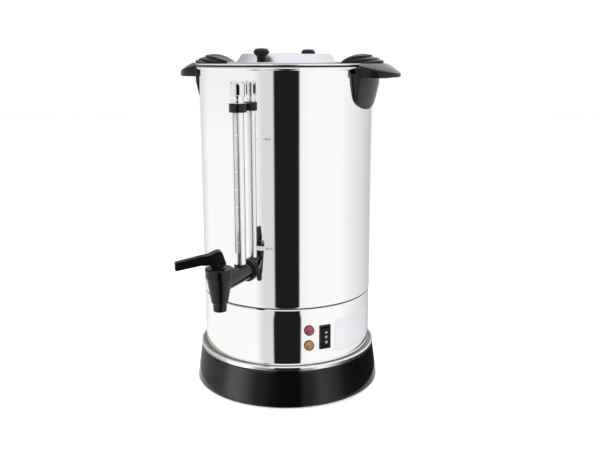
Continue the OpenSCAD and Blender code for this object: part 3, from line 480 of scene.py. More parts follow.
def grain(material, scale, height, strength, stretch=(1.0, 1.0, 1.0)):
    """Gives a finish a fine relief."""
    bump = material.node_tree.nodes.new("ShaderNodeBump")
    bump.inputs["Distance"].default_value = height
    bump.inputs["Strength"].default_value = strength
    link(material, noise(material, scale, GRAIN_DETAIL, stretch), bump.inputs["Height"])
    link(material, bump.outputs["Normal"], shader_of(material).inputs["Normal"])


def steel_finish(name, colour, low=0.035, high=0.06, wave=0.04 * MM):
    """Polished steel with faint smudges and slow waves."""
    material = finish(name, colour, low, metallic=1.0)
    vary_roughness(material, low, high, scale=9.0)
    vary_colour(material, share=0.012, scale=5.0)
    grain(material, scale=16.0, height=wave, strength=0.5)
    return material


def plastic_finish(name, colour, low, high, gloss=0.5, relief_scale=900.0, relief=0.02 * MM, strength=0.25):
    """Moulded plastic with a fine grain."""
    material = finish(name, colour, low)
    shader_of(material).inputs["Specular IOR Level"].default_value = gloss
    vary_roughness(material, low, high, scale=25.0)
    vary_colour(material, share=0.12, scale=40.0)
    grain(material, relief_scale, relief, strength)
    return material


def painted_sheen_top_finish(name, colour, low, high, gloss):
    """Moulded plastic with a strong coat on the faces that look up, a painted sheen standing in for overhead
    light seen at a grazing angle.
    """
    material = plastic_finish(name, colour, low, high, gloss)
    shader = shader_of(material)
    shader.inputs["Coat IOR"].default_value = 2.0
    shader.inputs["Coat Roughness"].default_value = 0.22
    way = material.node_tree.nodes.new("ShaderNodeNewGeometry")
    parts = material.node_tree.nodes.new("ShaderNodeSeparateXYZ")
    link(material, way.outputs["Normal"], parts.inputs["Vector"])
    # Coat fades in as the face turns up: painted sheen on the tops, not wear
    steep = (0.55, (0.0, 0.0, 0.0, 1.0))
    level = (0.82, (1.0, 1.0, 1.0, 1.0))
    link(material, add_ramp(material, parts.outputs["Z"], steep, level), shader.inputs["Coat Weight"])
    return material


def brushed_finish(name, colour, low=0.22, high=0.36):
    """Dull metal with short scratches."""
    material = finish(name, colour, low, metallic=1.0)
    vary_roughness(material, low, high, scale=60.0)
    vary_colour(material, share=0.06, scale=30.0)
    grain(material, scale=500.0, height=0.02 * MM, strength=0.25, stretch=(1.0, 1.0, 6.0))
    return material


def soft_finish(name, colour, rough, relief=0.05 * MM):
    """Rubber, silicone, felt or paint."""
    spread = 0.08
    material = finish(name, colour, rough)
    vary_roughness(material, rough - spread, min(1.0, rough + spread), scale=80.0)
    vary_colour(material, share=0.1, scale=120.0)
    grain(material, scale=700.0, height=relief, strength=0.4)
    return material


def lens_painted_rim_finish(name, colour):
    """Coloured clear plastic, deeper in colour towards its edge where the view runs through more of it, with
    painted shade darkening the rim further and a slightly lighter middle as painted highlight.
    """
    material = finish(name, colour, 0.12, coat=0.6)
    shader = shader_of(material)
    shader.inputs["Transmission Weight"].default_value = 0.15
    weight = material.node_tree.nodes.new("ShaderNodeLayerWeight")
    weight.inputs["Blend"].default_value = 0.45
    # Middle a little lighter as painted highlight; rim much darker, partly the deeper colour of more plastic
    # and partly painted shade
    middle = (0.0, scaled(colour, 1.1))
    edge = (0.62, scaled(colour, 0.12))
    link(material, add_ramp(material, weight.outputs["Facing"], middle, edge), shader.inputs["Base Color"])
    vary_roughness(material, low=0.08, high=0.2, scale=300.0)
    grain(material, scale=420.0, height=0.06 * MM, strength=0.35)
    return material


def glass_finish(name):
    """Milky glass tube with slight waves."""
    material = finish(name, (0.7, 0.71, 0.72, 1.0), 0.15, metallic=0.5)
    shader = shader_of(material)
    shader.inputs["Transmission Weight"].default_value = 0.1
    shader.inputs["IOR"].default_value = 1.46
    vary_colour(material, share=0.06, scale=30.0)
    vary_roughness(material, low=0.12, high=0.2, scale=60.0)
    grain(material, scale=90.0, height=0.02 * MM, strength=0.2)
    return material


def shared(name, make, *colour, **values):
    """Returns a material by name, made the first time it is asked for."""
    return bpy.data.materials.get(name) or make(name, *colour, **values)


def wall_steel():
    """Mirror polish of the tank's wall, rim and rings."""
    return shared("polished_wall", steel_finish, bpy.context.scene.urn_colours.steel)


def gauge_steel():
    """Duller polish of the gauge's guard."""
    return shared("gauge_steel", steel_finish, bpy.context.scene.urn_colours.steel, low=0.28, high=0.34)


def lid_steel():
    """Polish of the deck and of the lid's tongues."""
    return shared("polished_lid", steel_finish, bpy.context.scene.urn_colours.lid, low=0.05, high=0.09)


def handle_black():
    """Satin plastic of the handles and their caps, with a painted sheen on the faces that look up."""
    black = bpy.context.scene.urn_colours.black
    return shared("satin_black", painted_sheen_top_finish, black, low=0.2, high=0.27, gloss=0.32)


def tap_black():
    """Smooth plastic of the tap and the gauge's bracket."""
    black = bpy.context.scene.urn_colours.black
    return shared("tap_black", plastic_finish, black, low=0.1, high=0.15, gloss=0.35)


def knob_black():
    """Shiny plastic of the lid's knobs and the strips in the gauge's cap, with a painted sheen on the faces
    that look up.
    """
    black = bpy.context.scene.urn_colours.black
    return shared("glossy_black", painted_sheen_top_finish, black, low=0.16, high=0.22, gloss=0.2)


def sign_white():
    """White paint of the rocker's signs and the marks on the glass."""
    white = bpy.context.scene.urn_colours.mark
    return shared("white_paint", soft_finish, white, rough=0.55, relief=0.01 * MM)


class URN_OT_tank_walls(bpy.types.Operator):
    """Builds the polished outer wall and the lower band with their rounded seam."""

    bl_idname = "urn.tank_walls"
    bl_label = "Tank walls"

    def execute(self, context):
        sizes = context.scene.urn_sizes
        sheet = sizes.sheet
        edge = sizes.edge
        seam = sizes.seam_round
        _, radius, low, high = span("outer_shell")
        lip = radius - sizes.seam_lip
        inside = radius - sheet
        wall = rounded([
            (lip, low, edge), (radius, low, seam), (radius, high, edge), (inside, high, edge),
            (inside, low + sheet, seam - sheet), (lip, low + sheet, edge),
        ], steps=10)
        dress(turned("tank_wall", [wall]), wall_steel(), "urn", "polished_steel", "outer_shell")
        _, radius, low, high = span("lower_shell")
        lip = radius - sizes.seam_lip
        inside = radius - sheet
        foot_round = 1.0 * MM
        rows = 24
        tall = high - low
        face = [(radius, low + tall * k / rows, HAIR) for k in range(2, rows - 1)]
        band = rounded([
            (lip, low, edge), (radius, low, foot_round), *face, (radius, high, seam), (lip, high, edge),
            (lip, high - sheet, edge), (inside, high - sheet, seam - sheet), (inside, low + sheet, edge),
            (lip, low + sheet, edge),
        ], steps=10)
        flat = self.flat_place(radius, low, high)
        piece = turned("lower_band", [band], FINE_TURNS, flute=flat, flute_from=inside - HAIR / 2)
        material = shared("polished_band", steel_finish, context.scene.urn_colours.band, wave=0.35 * MM)
        dress(piece, material, "urn", "polished_steel", "lower_shell")
        self.seam_seal(radius, high)
        return {"FINISHED"}

    def flat_place(self, radius, low, high):
        """Returns the scale of the band's radius where the rolled sheet is slightly flat in front."""
        middle = math.radians(-64.7)
        spread = math.radians(8.0)
        depth = 0.7 * MM
        fade = 14.0 * MM

        def scale(angle, height):
            turn = (angle - middle + math.pi) % (2 * math.pi) - math.pi
            share = max(0.0, min(1.0, (height - low) / fade, (high - height) / fade))
            ease = share * share * (3 - 2 * share)
            return 1 - depth / radius * ease * math.exp(-0.5 * (turn / spread) ** 2)

        return scale

    def seam_seal(self, radius, height):
        """Dark bead in the groove between the two walls: painted shade that deepens the line of the seam."""
        bead_out = radius - 0.7 * MM
        bead_in = radius - 3.4 * MM
        half = 0.9 * MM
        outline = tube_outline(bead_in, bead_out, height - half, height + half, 0.3 * MM, 0.5 * MM)
        # Near-black colour of the bead: painted shade in the seam's groove
        material = shared("seam_sealant", soft_finish, (0.02, 0.02, 0.021, 1.0), rough=0.55)
        dress(turned("seam_seal", [outline]), material, "urn", "rubber")


class URN_OT_base(bpy.types.Operator):
    """Builds the flared base, the trim ring in its groove and the tan fill beside the ring, painted lighter
    over the groove's shade.
    """

    bl_idname = "urn.base"
    bl_label = "Base"

    def execute(self, context):
        _, radius, low, high = span("base_shell")
        wall = 4.0 * MM
        flare = 7.4 * MM
        groove = 3.0 * MM
        foot = 3.0 * MM
        ledge = radius - 25.6 * MM
        shelf = high - 1.5 * MM
        top = radius - flare
        outline = rounded([
            (radius - wall, low, 0.4 * MM), (radius, low, foot), (top, high, 0.7 * MM),
            (top - groove, high, 0.3 * MM), (top - groove, shelf, 0.3 * MM),
            (ledge, shelf, 0.5 * MM), (ledge, shelf - wall, 0.5 * MM),
            (top - wall, shelf - wall, 2.0 * MM), (radius - wall, low + foot, 0.5 * MM),
        ], steps=8)
        material = shared("base_black", plastic_finish, context.scene.urn_colours.base, low=0.12, high=0.17,
                          relief_scale=500.0, relief=0.01 * MM, strength=0.1)
        dress(turned("base_skirt", [outline]), material, "urn", "base_plastic", "base_shell")
        _, radius, low, high = span("base_trim_ring")
        ring = radius - 3.6 * MM
        edge = 0.2 * MM
        crown = 1.75 * MM
        outline = rounded([
            (ring, low, edge), (radius, low, edge), (radius, high, crown), (ring, high, crown),
        ], steps=10)
        dress(turned("trim_ring", [outline]), wall_steel(), "urn", "polished_steel", "base_trim_ring")
        self.band_groove_fill(ring, shelf, high)
        return {"FINISHED"}

    def band_groove_fill(self, ring, shelf, high):
        """Tan fill in the groove between the lower band and the trim ring, painted lighter over the shade
        that the open groove holds.
        """
        _, band, _, _ = span("lower_shell")
        side_gap = 0.05 * MM
        inside = band + side_gap
        outside = ring - side_gap
        floor = shelf + HAIR
        outline = rounded([
            (inside, floor, 0.1 * MM), (outside, floor, 0.1 * MM),
            (outside, high - 2.6 * MM, 0.5 * MM), (inside, high - 2.0 * MM, 0.3 * MM),
        ], steps=4)
        # Tan colour of the fill: painted light over the groove's shade
        material = shared("seal_tan", soft_finish, (0.25, 0.23, 0.19, 1.0), rough=0.45)
        dress(turned("band_groove_fill", [outline]), material, "urn", "silicone")


class URN_OT_rim(bpy.types.Operator):
    """Builds the inner tank with its rolled rim and the gasket on it."""

    bl_idname = "urn.rim"
    bl_label = "Rim"

    def execute(self, context):
        sheet = context.scene.urn_sizes.sheet
        edge = context.scene.urn_sizes.edge
        _, radius, low, high = span("inner_tank")
        bead = 2.4 * MM
        lip = radius - bead
        wall = 119.2 * MM
        corner = 6.0 * MM
        shell = rounded([
            (0.0, low, 0.0), (wall, low, corner), (wall, high - sheet, 1.2 * MM), (lip, high - sheet, edge),
            (lip, high, edge), (wall - sheet, high, 2.0 * MM), (wall - sheet, low + sheet, corner - sheet),
            (0.0, low + sheet, 0.0),
        ], steps=8)
        roll = ring_section(lip, high - bead, bead)
        piece = turned("inner_tank_shell", [shell, roll])
        dress(piece, wall_steel(), "urn", "polished_steel", "inner_tank")
        _, radius, low, high = span("deck_gasket")
        width = 12.6 * MM
        outer_round = 0.8 * MM
        outline = tube_outline(radius - width, radius, low, high, edge, outer_round)
        material = shared("gasket_rubber", soft_finish, (0.012, 0.012, 0.013, 1.0), rough=0.5)
        dress(turned("rim_gasket", [outline]), material, "urn", "rubber", "deck_gasket")
        return {"FINISHED"}


class URN_OT_deck(bpy.types.Operator):
    """Builds the top deck with its rolled edge and the two notches for the lid's tongues."""

    bl_idname = "urn.deck"
    bl_label = "Deck"

    def execute(self, context):
        sizes = context.scene.urn_sizes
        _, radius, low, high = span("top_deck")
        bead = 1.2 * MM
        mouth = 86.0 * MM
        notch_reach = 88.8 * MM
        notch_half = 8.6 * MM
        plate = tube_outline(mouth, radius - bead, low, low + sizes.sheet, sizes.edge)
        piece = turned("deck_plate", [plate], exact=False)
        room = 5.0 * MM
        side = [(notch_half, -room), (notch_half, room), (-notch_half, room), (-notch_half, -room)]
        corners = [(x, y, low + z) for x in (-notch_reach, notch_reach) for y, z in side]
        cut(piece, blocks("notch", [prism(corners)]))
        soften_shading(piece)
        dress(piece, lid_steel(), "urn", "polished_steel", "top_deck")
        roll = ring_section(radius - bead, high - bead, bead)
        dress(turned("deck_roll", [roll]), lid_steel(), "urn", "polished_steel")
        return {"FINISHED"}


class URN_OT_lid(bpy.types.Operator):
    """Builds the lid: rolled edge, flange, raised middle, skirt and locking tongues."""

    bl_idname = "urn.lid"
    bl_label = "Lid"

    def execute(self, context):
        sheet = context.scene.urn_sizes.sheet
        edge = context.scene.urn_sizes.edge
        _, radius, _, high = span("lid_pan")
        bead = 0.8 * MM
        rise = 12.8 * MM
        crown = 0.5 * MM
        lean = 0.4 * MM
        foot = 74.7 * MM
        shoulder = 66.0 * MM
        flange = high - rise
        under = flange - sheet
        pan = rounded([
            (radius - bead, flange, edge), (foot, flange, 1.8 * MM), (shoulder, high - crown, 4.2 * MM),
            (0.0, high, 0.0), (0.0, high - sheet, 0.0), (shoulder - lean, high - crown - sheet, 3.4 * MM),
            (foot - sheet, under, 2.2 * MM), (radius - bead, under, edge),
        ], steps=8)
        roll = ring_section(radius - bead, flange, bead)
        skirt_out = 75.0 * MM
        skirt_tall = 11.0 * MM
        skirt = tube_outline(skirt_out - sheet, skirt_out, under - skirt_tall, under, edge)
        material = shared("satin_lid", steel_finish, context.scene.urn_colours.lid, low=0.38, high=0.44)
        dress(turned("lid_top", [pan, roll, skirt]), material, "lid", "polished_steel", "lid_pan")
        dress(self.tongues(skirt_out), lid_steel(), "lid", "polished_steel")
        return {"FINISHED"}

    def tongues(self, skirt_out):
        """Two tongues on the skirt that lock under the deck."""
        half = 8.0 * MM
        tip_half = 5.5 * MM
        low = 487.1 * MM
        high = 488.6 * MM
        root = skirt_out - 0.4 * MM
        tip = 88.2 * MM
        bevel = tip - 2.5 * MM
        plan = [(root, -half), (bevel, -half), (tip, -tip_half), (tip, tip_half), (bevel, half), (root, half)]
        shapes = []
        for side in (-1.0, 1.0):
            shapes.append(prism([(side * x, y, z) for z in (low, high) for x, y in plan]))
        return blocks("lid_tongues", shapes, smooth_angle=30)


class URN_OT_lid_knobs(bpy.types.Operator):
    """Builds the two black lid knobs."""

    bl_idname = "urn.lid_knobs"
    bl_label = "Lid knobs"

    def execute(self, context):
        neck = 6.2 * MM
        neck_flare = 0.3 * MM
        lip = 0.6 * MM
        dome = 0.9 * MM
        for node in ("front_knob", "rear_knob"):
            centre, radius, low, high = span(node)
            tall = high - low
            neck_top = low + 0.4 * tall
            lip_low = low + 0.62 * tall
            widest = low + 0.75 * tall
            crown = 0.74 * radius
            outline = rounded([
                (0.0, low, 0.0), (neck, low, 0.4 * MM), (neck + neck_flare, neck_top, 3.0 * MM),
                (radius - lip, lip_low, 1.0 * MM), (radius, widest, 1.4 * MM),
                (crown, high - dome, 3.0 * MM), (0.0, high, 0.0),
            ], steps=8)
            piece = turned(node.replace("_", "_lid_"), [outline], TUBE_TURNS, upright(centre))
            dress(piece, knob_black(), "lid", "knob_plastic", node)
        return {"FINISHED"}


class URN_OT_handles(bpy.types.Operator):
    """Builds the two side handles with softened edges."""

    bl_idname = "urn.handles"
    bl_label = "Handles"

    def execute(self, context):
        for node in ("left_handle", "right_handle"):
            piece = softened(node + "_grip", node, voxel=0.8 * MM, rounds=12)
            dress(piece, handle_black(), "urn", "black_plastic", node)
        return {"FINISHED"}


class URN_OT_handle_caps(bpy.types.Operator):
    """Builds the caps of three leaves over the handles, with softened edges."""

    bl_idname = "urn.handle_caps"
    bl_label = "Handle caps"

    def execute(self, context):
        for node in ("left_handle_cap", "right_handle_cap"):
            piece = softened(node + "_leaves", node, voxel=0.45 * MM, rounds=4)
            dress(piece, handle_black(), "urn", "black_plastic", node)
        return {"FINISHED"}


class URN_OT_gauge(bpy.types.Operator):
    """Builds the level gauge: slotted guard, glass with its marks, and collar."""

    bl_idname = "urn.gauge"
    bl_label = "Level gauge"

    def execute(self, context):
        sizes = context.scene.urn_sizes
        centre, radius, low, high = span("gauge_guard")
        bore = radius - 1.0 * MM
        slot_half = 3.45 * MM
        slot_low = low + 19.4 * MM
        slot_high = high - 12.0 * MM
        tube = tube_outline(bore, radius, low, high, sizes.edge)
        piece = turned("gauge_tube", [tube], TUBE_TURNS, upright(centre), exact=False)
        slot = strip_outline(slot_half, slot_low, slot_high, arc=12)
        corners = [(x, y, z) for y in (centre.y - 2 * radius, centre.y) for x, z in slot]
        cut(piece, blocks("slot", [prism(corners)]))
        soften_shading(piece)
        dress(piece, gauge_steel(), "urn", "polished_steel", "gauge_guard")
        centre, _, low, high = span("gauge_glass")
        glass_wall = 1.4 * MM
        glass_fit = 0.05 * MM
        radius = bore - glass_fit
        tube = tube_outline(radius - glass_wall, radius, low, high, sizes.edge)
        piece = turned("gauge_glass_tube", [tube], LENS_TURNS, upright(centre))
        dress(piece, shared("level_glass", glass_finish), "urn", "glass", "gauge_glass")
        dress(self.marks(sizes, centre, radius, slot_low, slot_high), sign_white(), "urn", "glass")
        self.collar(sizes.edge)
        return {"FINISHED"}

    def marks(self, sizes, centre, radius, low, high):
        """Bars on the glass, one at each level."""
        skin = 0.15 * MM
        half = sizes.mark_height / 2
        reach = math.radians(24)
        steps = 6
        plan = []
        for r, order in ((radius + skin, 1.0), (radius + HAIR, -1.0)):
            for k in range(steps + 1):
                c, s = units(-math.pi / 2 + order * (2 * reach * k / steps - reach))
                plan.append((centre.x + r * c, centre.y + r * s))
        bars = []
        count = int((high - low) / sizes.mark_pitch)
        for level in range(1, count + 1):
            middle = low + level * sizes.mark_pitch - sizes.mark_pitch / 2
            bars.append(prism([(x, y, z) for z in (middle - half, middle + half) for x, y in plan]))
        return blocks("gauge_marks", bars, smooth_angle=30)

    def collar(self, edge):
        """Polished collar at the foot of the guard."""
        centre, radius, low, high = span("gauge_collar")
        bore = 5.7 * MM
        neck = radius - 1.2 * MM
        flange = low + 3.4 * MM
        bevel = 0.4 * MM
        outline = rounded([
            (bore, low, edge), (radius, low, 0.4 * MM), (radius, flange, 0.8 * MM),
            (neck, flange + bevel, 0.5 * MM), (neck, high, edge), (bore, high, edge),
        ])
        piece = turned("gauge_neck", [outline], TUBE_TURNS, upright(centre))
        dress(piece, wall_steel(), "urn", "polished_steel", "gauge_collar")


class URN_OT_gauge_cap(bpy.types.Operator):
    """Builds the gauge cap with its round-ended flutes and the black strips in them."""

    bl_idname = "urn.gauge_cap"
    bl_label = "Gauge cap"

    def execute(self, context):
        centre, radius, low, high = span("gauge_cap")
        crown = 2.0 * MM
        bore = 8.25 * MM
        bore_top = low + 9.0 * MM
        flutes = 4
        flute_turn = math.radians(33.0)
        flute_radius = 3.4 * MM
        flute_axis = radius + 2.0 * MM
        flute_low = low + 4.4 * MM
        flute_high = high - 6.0 * MM
        rows = 44
        tall = high - crown - low
        sides = [(radius, low + tall * k / rows, HAIR) for k in range(1, rows)]

        def flute(angle, height):
            pitch = 2 * math.pi / flutes
            turn = (angle - flute_turn + pitch / 2) % pitch - pitch / 2
            past = max(flute_low - height, height - flute_high, 0.0)
            room = flute_radius ** 2 - past ** 2 - (flute_axis * math.sin(turn)) ** 2
            if room <= 0.0:
                return 1.0
            return min(1.0, (flute_axis * math.cos(turn) - math.sqrt(room)) / radius)

        outline = rounded([
            (bore, low, 0.3 * MM), (radius, low, 0.7 * MM), *sides, (radius, high - crown, 0.6 * MM),
            (radius - crown, high, 1.0 * MM), (0.0, high, 0.0), (0.0, bore_top, 0.0),
            (bore, bore_top, 0.3 * MM),
        ], steps=4)
        piece = turned("gauge_cap_fluted", [outline], FINE_TURNS, upright(centre), flute, radius - crown)
        soften_shading(piece, 32)
        steel = shared("cap_steel", steel_finish, (0.84, 0.83, 0.815, 1.0))
        dress(piece, steel, "gauge_cap", "polished_steel", "gauge_cap")
        strip_half = 1.75 * MM
        strip_thick = 0.95 * MM
        strip_back = flute_axis - flute_radius - 0.1 * MM
        strip = strip_outline(strip_half, flute_low - 1.0 * MM, flute_high + 0.9 * MM, arc=8)
        corners = [(x, y, z) for x in (strip_back, strip_back + strip_thick) for y, z in strip]
        inlays = []
        for k in range(flutes):
            turn = Matrix.Rotation(flute_turn + 2 * math.pi * k / flutes, 4, "Z")
            inlays.append(prism(corners, upright(centre) @ turn))
        piece = blocks("gauge_cap_inlays", inlays, smooth_angle=30)
        dress(piece, knob_black(), "gauge_cap", "black_plastic")
        return {"FINISHED"}


class URN_OT_gauge_bracket(bpy.types.Operator):
    """Builds the black bracket that holds the gauge to the tank."""

    bl_idname = "urn.gauge_bracket"
    bl_label = "Gauge bracket"

    def execute(self, context):
        piece = softened("gauge_clamp", "gauge_bracket", voxel=0.4 * MM, rounds=6)
        dress(piece, tap_black(), "urn", "black_plastic", "gauge_bracket")
        return {"FINISHED"}


class URN_OT_tap(bpy.types.Operator):
    """Builds the tap's body and bonnet."""

    bl_idname = "urn.tap"
    bl_label = "Tap"

    def execute(self, context):
        piece = softened("tap_barrel", "tap_body", voxel=0.55 * MM, rounds=5)
        dress(piece, tap_black(), "urn", "black_plastic", "tap_body")
        centre, radius, low, high = span("tap_bonnet")
        neck = radius - 2.8 * MM
        side = radius - 0.5 * MM
        crown = radius - 1.6 * MM
        stem = 4.2 * MM
        under = high - 4.0 * MM
        step = 0.2 * MM
        bead = 3.0 * MM
        outline = rounded([
            (neck, low, 0.2 * MM), (side, low, 0.5 * MM), (side, under, 0.25 * MM),
            (radius, under + step, 0.4 * MM), (radius, under + bead, 0.6 * MM), (crown, high, 0.8 * MM),
            (stem, high, 0.3 * MM), (stem, under, 0.3 * MM), (neck, under, 0.3 * MM),
        ])
        piece = turned("tap_collar", [outline], COLLAR_TURNS, upright(centre))
        dress(piece, tap_black(), "urn", "black_plastic", "tap_bonnet")
        return {"FINISHED"}


class URN_OT_tap_lever(bpy.types.Operator):
    """Builds the tap's lever."""

    bl_idname = "urn.tap_lever"
    bl_label = "Tap lever"

    def execute(self, context):
        piece = softened("lever_arm", "tap_lever", voxel=0.4 * MM, rounds=8)
        dress(piece, tap_black(), "tap_lever", "black_plastic", "tap_lever")
        return {"FINISHED"}


class URN_OT_lamps(bpy.types.Operator):
    """Builds the two signal lamps: bezels and domed lenses."""

    bl_idname = "urn.lamps"
    bl_label = "Signal lamps"

    def execute(self, context):
        colours = context.scene.urn_colours
        brown = shared("bezel_plastic", plastic_finish, colours.bezel, low=0.18, high=0.28, gloss=0.3)
        _, wall, _, _ = span("lower_shell")
        front = wall + 2.3 * MM
        lens_back = wall + 0.8 * MM
        for node, name, colour in (
            ("red_lamp_lens", "red", colours.red), ("amber_lamp_lens", "amber", colours.amber),
        ):
            low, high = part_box(node)
            radius = (high.z - low.z) / 2
            rim = radius + 1.2 * MM
            place = facing(node)
            section = self.bezel(wall, radius, rim, front, lens_back)
            bezel = turned(name + "_bezel", [section], LENS_TURNS, place)
            dress(bezel, brown, "urn", "lamp_bezel", "lamp_bezels")
            lens = turned(name + "_lens", [self.dome(radius, rim, front, lens_back)], LENS_TURNS, place)
            clear = shared(name + "_lens_plastic", lens_painted_rim_finish, colour)
            dress(lens, clear, "urn", name + "_lens", node)
        return {"FINISHED"}

    def bezel(self, wall, radius, rim, front, lens_back):
        """Section of a bezel: a sleeve through the wall, a rim in front of it and a pocket for the lens."""
        bore = 3.0 * MM
        sleeve = radius - 0.2 * MM
        pocket = radius + 0.15 * MM
        lean = 0.3 * MM
        back = wall - 6.0 * MM
        seat = wall + 0.05 * MM
        return rounded([
            (bore, back, 0.2 * MM), (sleeve, back, 0.2 * MM), (sleeve, seat, 0.1 * MM), (rim, seat, 0.3 * MM),
            (rim - lean, front, 0.5 * MM), (pocket, front, 0.3 * MM), (pocket, lens_back, 0.1 * MM),
            (bore, lens_back, 0.1 * MM),
        ])

    def dome(self, radius, rim, front, lens_back):
        """Section of a lens: a plug in the bezel under a dome that laps over the rim."""
        seat = lens_back + 0.05 * MM
        lap = front + 0.03 * MM
        edge = rim - 0.45 * MM
        edge_tall = 0.2 * MM
        rise = 2.6 * MM
        ball = (edge ** 2 + rise ** 2) / (2 * rise)
        lean = math.asin(edge / ball)
        steps = 14
        outline = [
            (0.0, seat, 0.0), (radius, seat, 0.1 * MM), (radius, lap, 0.1 * MM), (edge, lap, 0.05 * MM),
        ]
        for k in range(steps + 1):
            c, s = units(lean * (1 - k / steps))
            outline.append((ball * s, lap + edge_tall + rise - ball * (1 - c), 0.2 * MM))
        return rounded(outline)


class URN_OT_switch(bpy.types.Operator):
    """Builds the rocker switch and its painted signs."""

    bl_idname = "urn.switch"
    bl_label = "Switch"

    def execute(self, context):
        black = context.scene.urn_colours.black
        housing_black = shared("switch_black", plastic_finish, black, low=0.3, high=0.4)
        rocker_black = shared("rocker_black", plastic_finish, black, low=0.3, high=0.4, gloss=0.15)
        housing = softened("switch_frame", "switch_housing", voxel=0.4 * MM, rounds=3)
        dress(housing, housing_black, "urn", "black_plastic", "switch_housing")
        rocker = softened("rocker_cap", "switch_rocker", voxel=0.3 * MM, rounds=4)
        dress(rocker, rocker_black, "switch_rocker", "black_plastic", "switch_rocker")
        dress(self.signs(), sign_white(), "switch_rocker", "black_plastic")
        dress(self.well(), rocker_black, "urn", "black_plastic")
        return {"FINISHED"}

    def well(self):
        """Black floor behind the rocker that closes the view to the wall."""
        low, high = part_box("switch_housing")
        _, wall, _, _ = span("lower_shell")
        border = 0.8 * MM
        tall = (high.z - low.z) / 2 - border
        wide = 7.2 * MM
        back = wall - 0.6 * MM
        front = wall + 0.3 * MM
        plan = ((-wide, -tall), (wide, -tall), (wide, tall), (-wide, tall))
        corners = [(x, y, depth) for depth in (back, front) for x, y in plan]
        return blocks("switch_well", [prism(corners, facing("switch_housing"))])

    def signs(self):
        """One bar at the top, a ring in the middle and two bars at the bottom of the rocker."""
        low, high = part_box("switch_rocker")
        tall = (high.z - low.z) / 2
        wide_bar = 1.9 * MM
        bar_out = 1.6 * MM
        bar_in = 0.45 * MM
        plans = []
        for left, right, start, end in (
            (-wide_bar, wide_bar, 0.42, 0.55),
            (-bar_out, -bar_in, -0.64, -0.4),
            (bar_in, bar_out, -0.64, -0.4),
        ):
            foot = start * tall
            top = end * tall
            plans.append(((left, foot), (right, foot), (right, top), (left, top)))
        ring_out = 1.9 * MM
        ring_in = 1.1 * MM
        count = 24
        for k in range(count):
            c0, s0 = units(2 * math.pi * k / count)
            c1, s1 = units(2 * math.pi * (k + 1) / count)
            plans.append(((ring_in * c0, ring_in * s0), (ring_out * c0, ring_out * s0),
                          (ring_out * c1, ring_out * s1), (ring_in * c1, ring_in * s1)))
        return blocks("rocker_signs", [self.paint(plan, tall) for plan in plans])

    def paint(self, plan, tall):
        """Thin block of paint on the rocker's face, which falls from both ends to the middle."""
        _, wall, _, _ = span("lower_shell")
        middle = wall + 1.5 * MM
        ends = wall + 3.3 * MM
        aside = 1.2 * MM
        skin = 0.12 * MM
        corners = []
        for lift in (-skin, skin):
            for x, y in plan:
                corners.append((aside + x, y, middle + (ends - middle) * abs(y) / tall + lift))
        return prism(corners, facing("switch_rocker"))


class URN_OT_plate(bpy.types.Operator):
    """Builds the blank plate on the lower band, with a raised border."""

    bl_idname = "urn.plate"
    bl_label = "Blank plate"

    def execute(self, context):
        low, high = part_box("rating_plate")
        _, wall, _, _ = span("lower_shell")
        turn = math.radians(75.5)
        half_angle = math.radians(17.5)
        corner = 3.0 * MM
        middle = (low.z + high.z) / 2
        half_height = (high.z - low.z) / 2
        half_width = half_angle * wall
        bevel = 0.12 * MM
        border = 1.0 * MM
        field = border + 0.15 * MM
        side_lift = 0.3 * MM
        border_lift = 0.36 * MM
        field_lift = 0.28 * MM
        layers = [
            (0.0, HAIR), (0.0, side_lift), (bevel, border_lift), (border, border_lift), (field, field_lift),
        ]
        verts = []
        faces = []
        for inset, lift in layers:
            for x, z in self.outline(half_width - inset, half_height - inset, corner - inset / 2):
                verts.append(self.wrapped(x, middle + z, wall + lift, turn))
        count = len(verts) // len(layers)
        last = len(verts) - count
        for first in range(0, last, count):
            for k in range(count):
                n = (k + 1) % count
                faces.append([first + k, first + n, first + count + n, first + count + k])
        self.fill(faces, 0, count)
        self.fill(faces, last, count)
        piece = blocks("blank_plate_sheet", [(verts, faces)], smooth_angle=30)
        material = shared("plate_foil", steel_finish, context.scene.urn_colours.plate, low=0.16, high=0.26)
        shader_of(material).inputs["Metallic"].default_value = 0.6
        dress(piece, material, "urn", "blank_plate", "rating_plate")
        return {"FINISHED"}

    def outline(self, half_width, half_height, corner):
        """Rounded rectangle with as many points along the bottom as along the top."""
        arc = 6
        columns = 40
        flat = half_width - corner
        shoulder = half_height - corner
        top = []
        for k in range(arc + 1):
            c, s = units(math.pi - math.pi / 2 * k / arc)
            top.append((corner * c - flat, shoulder + corner * s))
        for k in range(1, columns):
            top.append((2 * flat * k / columns - flat, half_height))
        for k in range(arc + 1):
            c, s = units(math.pi / 2 - math.pi / 2 * k / arc)
            top.append((flat + corner * c, shoulder + corner * s))
        return top + [(x, -z) for x, z in reversed(top)]

    def wrapped(self, x, z, radius, turn):
        """Point on the band at a distance along it from the plate's middle."""
        angle = turn + x / radius
        return Vector((radius * math.sin(angle), -radius * math.cos(angle), z))

    def fill(self, faces, first, count):
        """Closes a wrapped outline with upright strips."""
        for k in range(count // 2 - 1):
            faces.append([first + k, first + k + 1, first + count - 2 - k, first + count - 1 - k])


# Strokes of the letters in a square of height and width one
LETTERS = {
    "M": (((0, 0), (0, 1)), ((0, 1), (0.5, 0.35)), ((0.5, 0.35), (1, 1)), ((1, 1), (1, 0))),
    "A": (((0, 0), (0.5, 1)), ((0.5, 1), (1, 0)), ((0.22, 0.36), (0.78, 0.36))),
    "X": (((0, 0), (1, 1)), ((0, 1), (1, 0))),
    "I": (((0.5, 0), (0.5, 1)),),
    "N": (((0, 0), (0, 1)), ((0, 1), (1, 0)), ((1, 0), (1, 1))),
}


